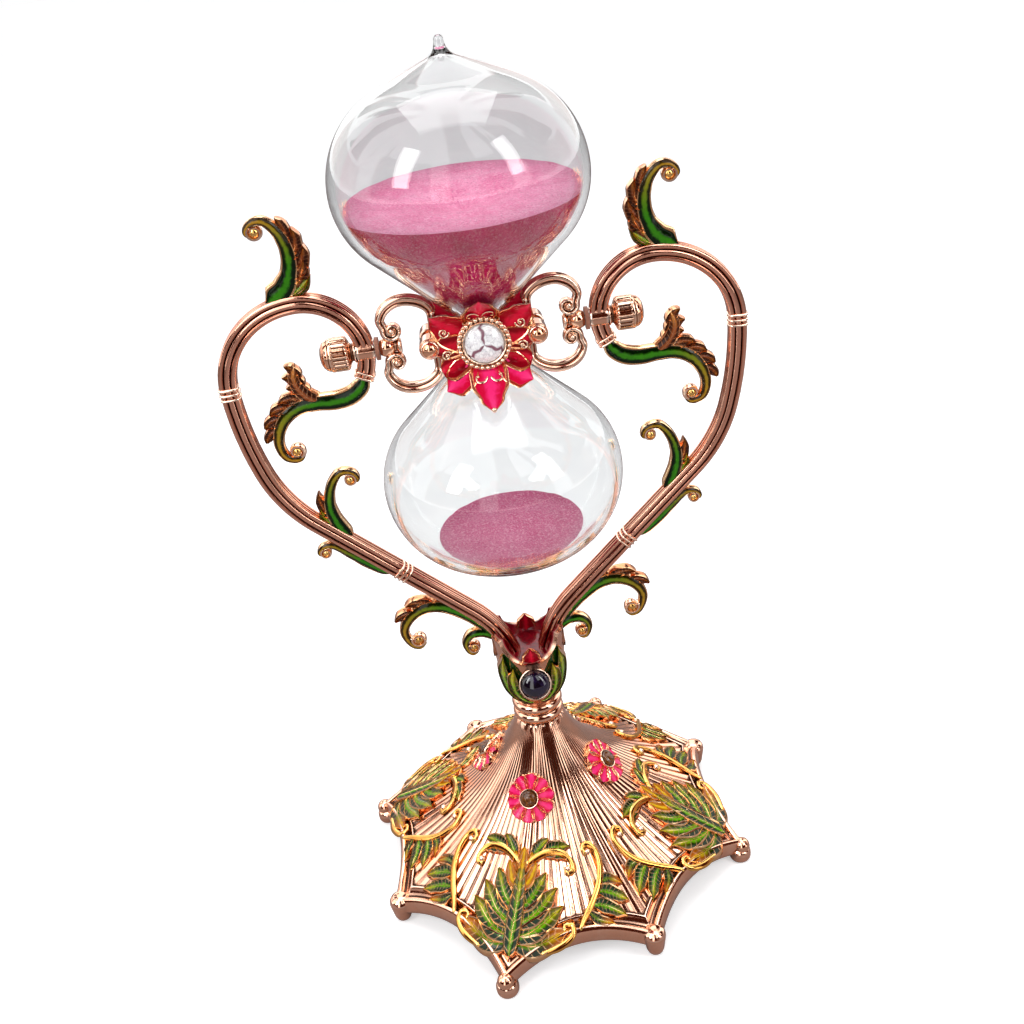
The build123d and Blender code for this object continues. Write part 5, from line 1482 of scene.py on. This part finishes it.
# %% Sprays at the plain tips
def base_spray():
    pieces = []
    for side in (-1, 1):
        stem = field(PLAIN_FIELD, [(0.80, 18.4), (0.72, 15.2), (0.63, 10.8), (0.52, 6.8), (0.38, 4.2), (0.24, 3.4),
                                   (0.15, 4.8), (0.17, 6.6), (0.24, 6.4)], side)
        pieces.append(painted(sweep("spray_stem", smooth(stem), ROUND, [0.6, 0.95, 1.0, 0.85, 0.6], 0.9,
                                    on_dome(45, 0.6), 90, 0.04), AMBER_GOLD))
        knob = on_dome(45, 0.8)(*field(PLAIN_FIELD, [(0.215, 5.6)], side)[0], 0)
        pieces.append(painted(ball("spray_ball", knob, 0.9, 14), BRIGHT))
        for points, bulge, enamel in (
                ([(0.66, 11.6), (0.76, 8.2), (0.94, 4.4)], 2.0, EMERALD),
                ([(0.58, 8.6), (0.66, 5.4), (0.82, 1.6)], 2.1, GREEN),
                ([(0.52, 7.0), (0.54, 3.8), (0.64, 1.0)], 1.5, AMBER),
                ([(0.70, 13.6), (0.82, 12.2), (0.94, 8.6)], 1.4, AMBER)):
            widths = [0.5 * bulge, 1.05 * bulge, 0.85 * bulge, 0.2]
            pieces.append(painted(blade("spray_leaf", field(PLAIN_FIELD, points, side), widths, 1.0, on_dome(45), 34),
                                  enamel))
    return joined("base_spray_cast", pieces)


finish_round((base_spray(), "base_spray", "leaf_enamel"))

# %% [markdown]
# A flower has ten rounded petals of hot pink enamel with pale gold outlines, a gold ring and a brown
# stone. It sits square to the dome, so its petals are shaped in a tilted frame and follow the dome
# beneath them, found by casting a ray onto the CAD shell.

# %% Flower frame
fall = atan2(dome(FLOWER_REACH - 0.5) - dome(FLOWER_REACH + 0.5), 1.0)
KNEE = shift(FLOWER_REACH, 0, dome(FLOWER_REACH)) @ rotation(fall, "Y")
FLOWER = rotation(BASE_TURN, "Z") @ KNEE
print("the flowers tilt by", round(degrees(fall), 1), "degrees")


def on_flower(lift):
    def surface(aside, up, out):
        start, way = FLOWER @ Vector((aside, up, 12)), (FLOWER.to_3x3() @ Vector((0, 0, -1)))
        hit = shell_tree.ray_cast(start * MM, way)[0]
        ground = (FLOWER.inverted() @ (hit / MM)).z if hit else -1.5
        return FLOWER @ Vector((aside, up, ground + lift + out))
    return surface

# %% Flowers
AMBER_STONE, tree, shader = new_material("amber_stone")
where = object_place(tree)
vein = noise(tree, where, 700, 5.0, 0.65, 2.0)
connect(tree, shader, {"Base Color": blend(tree, ramp(tree, vein, 0.3, 0.75), rgb(52, 22, 6), rgb(140, 78, 22)),
                       "Roughness": ramp(tree, vein, 0.3, 0.7, 0.06, 0.16), "Coat Weight": 0.3})
bump(tree, shader, vein, 0.15, 0.2)


def flower_head():
    petals = []
    for k in range(10):
        angle = 2 * pi * k / 10
        way = Vector((cos(angle), sin(angle)))
        points = [way * 2.2, way * 3.9, way * 5.6, way * 7.15]
        petals.append(painted(blade("flower_petal", points, [0.9, 1.5, 2.0, 2.25, 2.1, 1.4], 0.75, on_flower(0.7), 30,
                                    PETAL), PINK))
    ring = turned("stone_ring", [(0, 0), (2.9, 0), (3.0, 1.0), (2.95, 1.6), (2.75, 1.85), (2.55, 1.7), (2.4, 1.3),
                                 (0, 1.2)], 48, along=40)
    moved(ring, FLOWER @ shift(0, 0, 0.65))
    petals.append(painted(ring, BRIGHT))
    return joined("flower_head", petals)


stone_rings = ((0.0, -0.2), (2.4, -0.2), (2.4, 0.3), (2.1, 0.8), (1.5, 1.2), (0.8, 1.42), (0.0, 1.45))
flower_stone = moved(faceted("flower_stone_cut", stone_rings, 12), FLOWER @ shift(0, 0, 2.35))
painted(flower_stone, AMBER_STONE)
finish_round((flower_head(), "base_flower", "pink_enamel"), (flower_stone, "flower_stone", "amber_stone"))
flattened(*(bpy.data.objects[f"flower_stone_cut_{k}"] for k in range(1, 5)))

# %% [markdown]
# Small working parts keep their CAD shape, because screws, studs and washers are already right. They
# get their own finishes: worn steel, dark rubber under the clamp, and pale nylon washers.

# %% Kept parts
def soft(name, tone, other, scale, roughness):
    made, tree, shader = new_material(name)
    where = object_place(tree)
    cloud, grit = noise(tree, where, scale, 4.0, 0.6), noise(tree, where, scale * 9, 2.0)
    connect(tree, shader, {"Base Color": blend(tree, ramp(tree, cloud, 0.3, 0.7), tone, other),
                           "Roughness": ramp(tree, grit, 0.2, 0.8, roughness, roughness + 0.2)})
    bump(tree, shader, grit, 0.3)
    return made


RUBBER = soft("cushion", rgb(46, 40, 40), rgb(66, 58, 56), 300, 0.6)
NYLON = soft("washer", rgb(168, 112, 88), rgb(140, 88, 68), 260, 0.35)
for node, kept_finish in (("clamp_screws", BRIGHT), ("clamp_nuts", BRIGHT), ("pivot_stud_right", STEEL),
                          ("pivot_stud_left", STEEL), ("base_screw", STEEL), ("base_washer", STEEL),
                          ("friction_washer_right", NYLON), ("friction_washer_left", NYLON),
                          ("neck_cushion", RUBBER)):
    painted(frame["nodes"][node], kept_finish)
shown = [name for name, node in frame["nodes"].items() if not node.hide_render]
print("CAD nodes that stay in view:", sorted(shown))

# %% [markdown]
# The studio is plain: a pale floor, a white world for the camera, and soft lamps. Reflections alone see
# the world brighter, with painted dark bands, strips and a streak, and see the floor painted dark brown.
# Two tall lamps leave the window streaks in the glass. The camera looks down on the front.

# %% Floor and world
bpy.ops.object.select_all(action="DESELECT")
bpy.ops.mesh.primitive_plane_add(size=6.0, location=(0, 0, -0.0001))
floor = bpy.context.object
floor.name = "studio_floor"
FLOOR, tree, shader = new_material("studio_paper")
where = object_place(tree)
rays = add(tree, "LightPath")
paper = blend(tree, ramp(tree, noise(tree, where, 40, 4.0), 0.3, 0.7), rgb(238, 238, 240), rgb(243, 243, 244))
first_hit = maths(tree, "LESS_THAN", rays.outputs["Transmission Depth"], 0.5)
# Painted dark reflection: seen in reflections, the floor is painted dark brown; to the camera it stays pale.
mirrored = times(tree, rays.outputs["Is Glossy Ray"], first_hit)
through_glass = blend(tree, rays.outputs["Is Transmission Ray"], (0, 0, 0, 1), (0.01, 0.01, 0.01, 1))
connect(tree, shader, {
    "Base Color": blend(tree, times(tree, mirrored, 0.68), paper, rgb(84, 34, 18)), "Roughness": 0.9,
    "Emission Color": blend(tree, rays.outputs["Is Camera Ray"], through_glass, (0.46, 0.46, 0.46, 1)),
    "Emission Strength": 1.0, "Specular IOR Level": 0.1})
painted(floor, FLOOR)

world = bpy.data.worlds.new("studio_world")
bpy.context.scene.world = world
world.use_nodes = True
tree = world.node_tree
tree.nodes.clear()
path = add(tree, "LightPath")
seen = maths(tree, "MAXIMUM", path.outputs["Is Camera Ray"], path.outputs["Is Transmission Ray"])
way = add(tree, "SeparateXYZ", {0: add(tree, "TexCoord").outputs["Generated"]})
height = way.outputs["Z"]
round_about = maths(tree, "ARCTAN2", way.outputs["X"], way.outputs["Y"])
front = ramp(tree, way.outputs["Y"], -0.25, 0.25, 1.0, 0.0)
top_edge = plus(tree, 0.30, times(tree, front, 0.30))
# Painted dark reflections: only reflections see a dark band round the horizon, dark strips higher up and a dark
# streak in front, and they see the world brighter.
reflected_dark_band = times(tree, ramp(tree, height, -0.04, 0.04), maths(tree, "LESS_THAN", height, top_edge))
gaps = ramp(tree, maths(tree, "SINE", times(tree, round_about, 5.0)), -0.85, -0.55)
reflected_dark_band = times(tree, times(tree, reflected_dark_band, gaps), plus(tree, 0.35, times(tree, front, 0.65)))
ring_way = add(tree, "CombineXYZ", {
    "X": maths(tree, "SINE", round_about), "Y": maths(tree, "COSINE", round_about),
    "Z": times(tree, height, 0.3)}).outputs[0]
strips = ramp(tree, noise(tree, ring_way, 3.4, 2.0), 0.53, 0.57)
strips = times(tree, strips, ramp(tree, height, 0.9, 0.97, 1.0, 0.0))
streak = ramp(tree, maths(tree, "ABSOLUTE", way.outputs["X"]), 0.07, 0.12, 1.0, 0.0)
streak = times(tree, streak, times(tree, front, maths(tree, "GREATER_THAN", height, 0.5)))
strips = maths(tree, "MAXIMUM", times(tree, strips, maths(tree, "GREATER_THAN", height, 0.35)), streak)
dark = maths(tree, "MAXIMUM", reflected_dark_band, strips)
dark = times(tree, dark, path.outputs["Is Glossy Ray"])
dark = times(tree, dark, maths(tree, "LESS_THAN", path.outputs["Transmission Depth"], 0.5))
strength = plus(tree, 0.60, times(tree, path.outputs["Is Glossy Ray"], 1.7))
beyond = plus(tree, 0.80, times(tree, path.outputs["Is Camera Ray"], 0.20))
strength = blend(tree, seen, strength, beyond)
strength = times(tree, strength, minus(tree, 1.0, times(tree, dark, 0.94)))
light = add(tree, "Background", {"Color": blend(tree, dark, (1, 1, 1, 1), rgb(176, 84, 50)),
                                 "Strength": strength})
add(tree, "OutputWorld", {"Surface": light.outputs[0]})

# %% Lamps
def lamp(name, place, aim, size, power):
    """A soft rectangular lamp, place and aim in millimetres, size in millimetres."""
    light = bpy.data.lights.new(name, "AREA")
    light.shape, light.size, light.size_y, light.energy = "RECTANGLE", size[0] * MM, size[1] * MM, power
    holder = bpy.data.objects.new(name, light)
    bpy.context.scene.collection.objects.link(holder)
    holder.location = Vector(place) * MM
    holder.rotation_euler = (Vector(aim) - Vector(place)).to_track_quat("-Z", "Y").to_euler()
    return holder


lamp("window_left", (-420, -320, 520), (0, 0, 180), (150, 420), 1.5)
lamp("window_right", (380, -300, 480), (0, 0, 180), (120, 380), 1.0)
lamp("top_softbox", (0, 120, 760), (0, 0, 120), (500, 500), 2.0)

# %% Camera
YAW, LOOK_DOWN, ROLL = radians(-2.63), radians(30.47), radians(-7.39)
backwards = Vector((sin(YAW) * cos(LOOK_DOWN), -cos(YAW) * cos(LOOK_DOWN), sin(LOOK_DOWN)))
level = Vector((cos(YAW), sin(YAW), 0))
upwards = backwards.cross(level)
rightwards = cos(ROLL) * level + sin(ROLL) * upwards
upwards = cos(ROLL) * upwards - sin(ROLL) * level
camera_data = bpy.data.cameras.new("studio_camera")
camera = bpy.data.objects.new("studio_camera", camera_data)
bpy.context.scene.collection.objects.link(camera)
camera.matrix_world = Matrix.Translation(Vector((-1.9, -276.9, 286.8)) * MM) @ Matrix(
    (rightwards, upwards, backwards)).transposed().to_4x4()
camera_data.lens, camera_data.sensor_width = 41.73, 36.0
camera_data.shift_x, camera_data.shift_y = -0.0356, -0.0078
camera_data.clip_start = 0.01
bpy.context.scene.camera = camera
bpy.context.scene.view_settings.view_transform = "Standard"
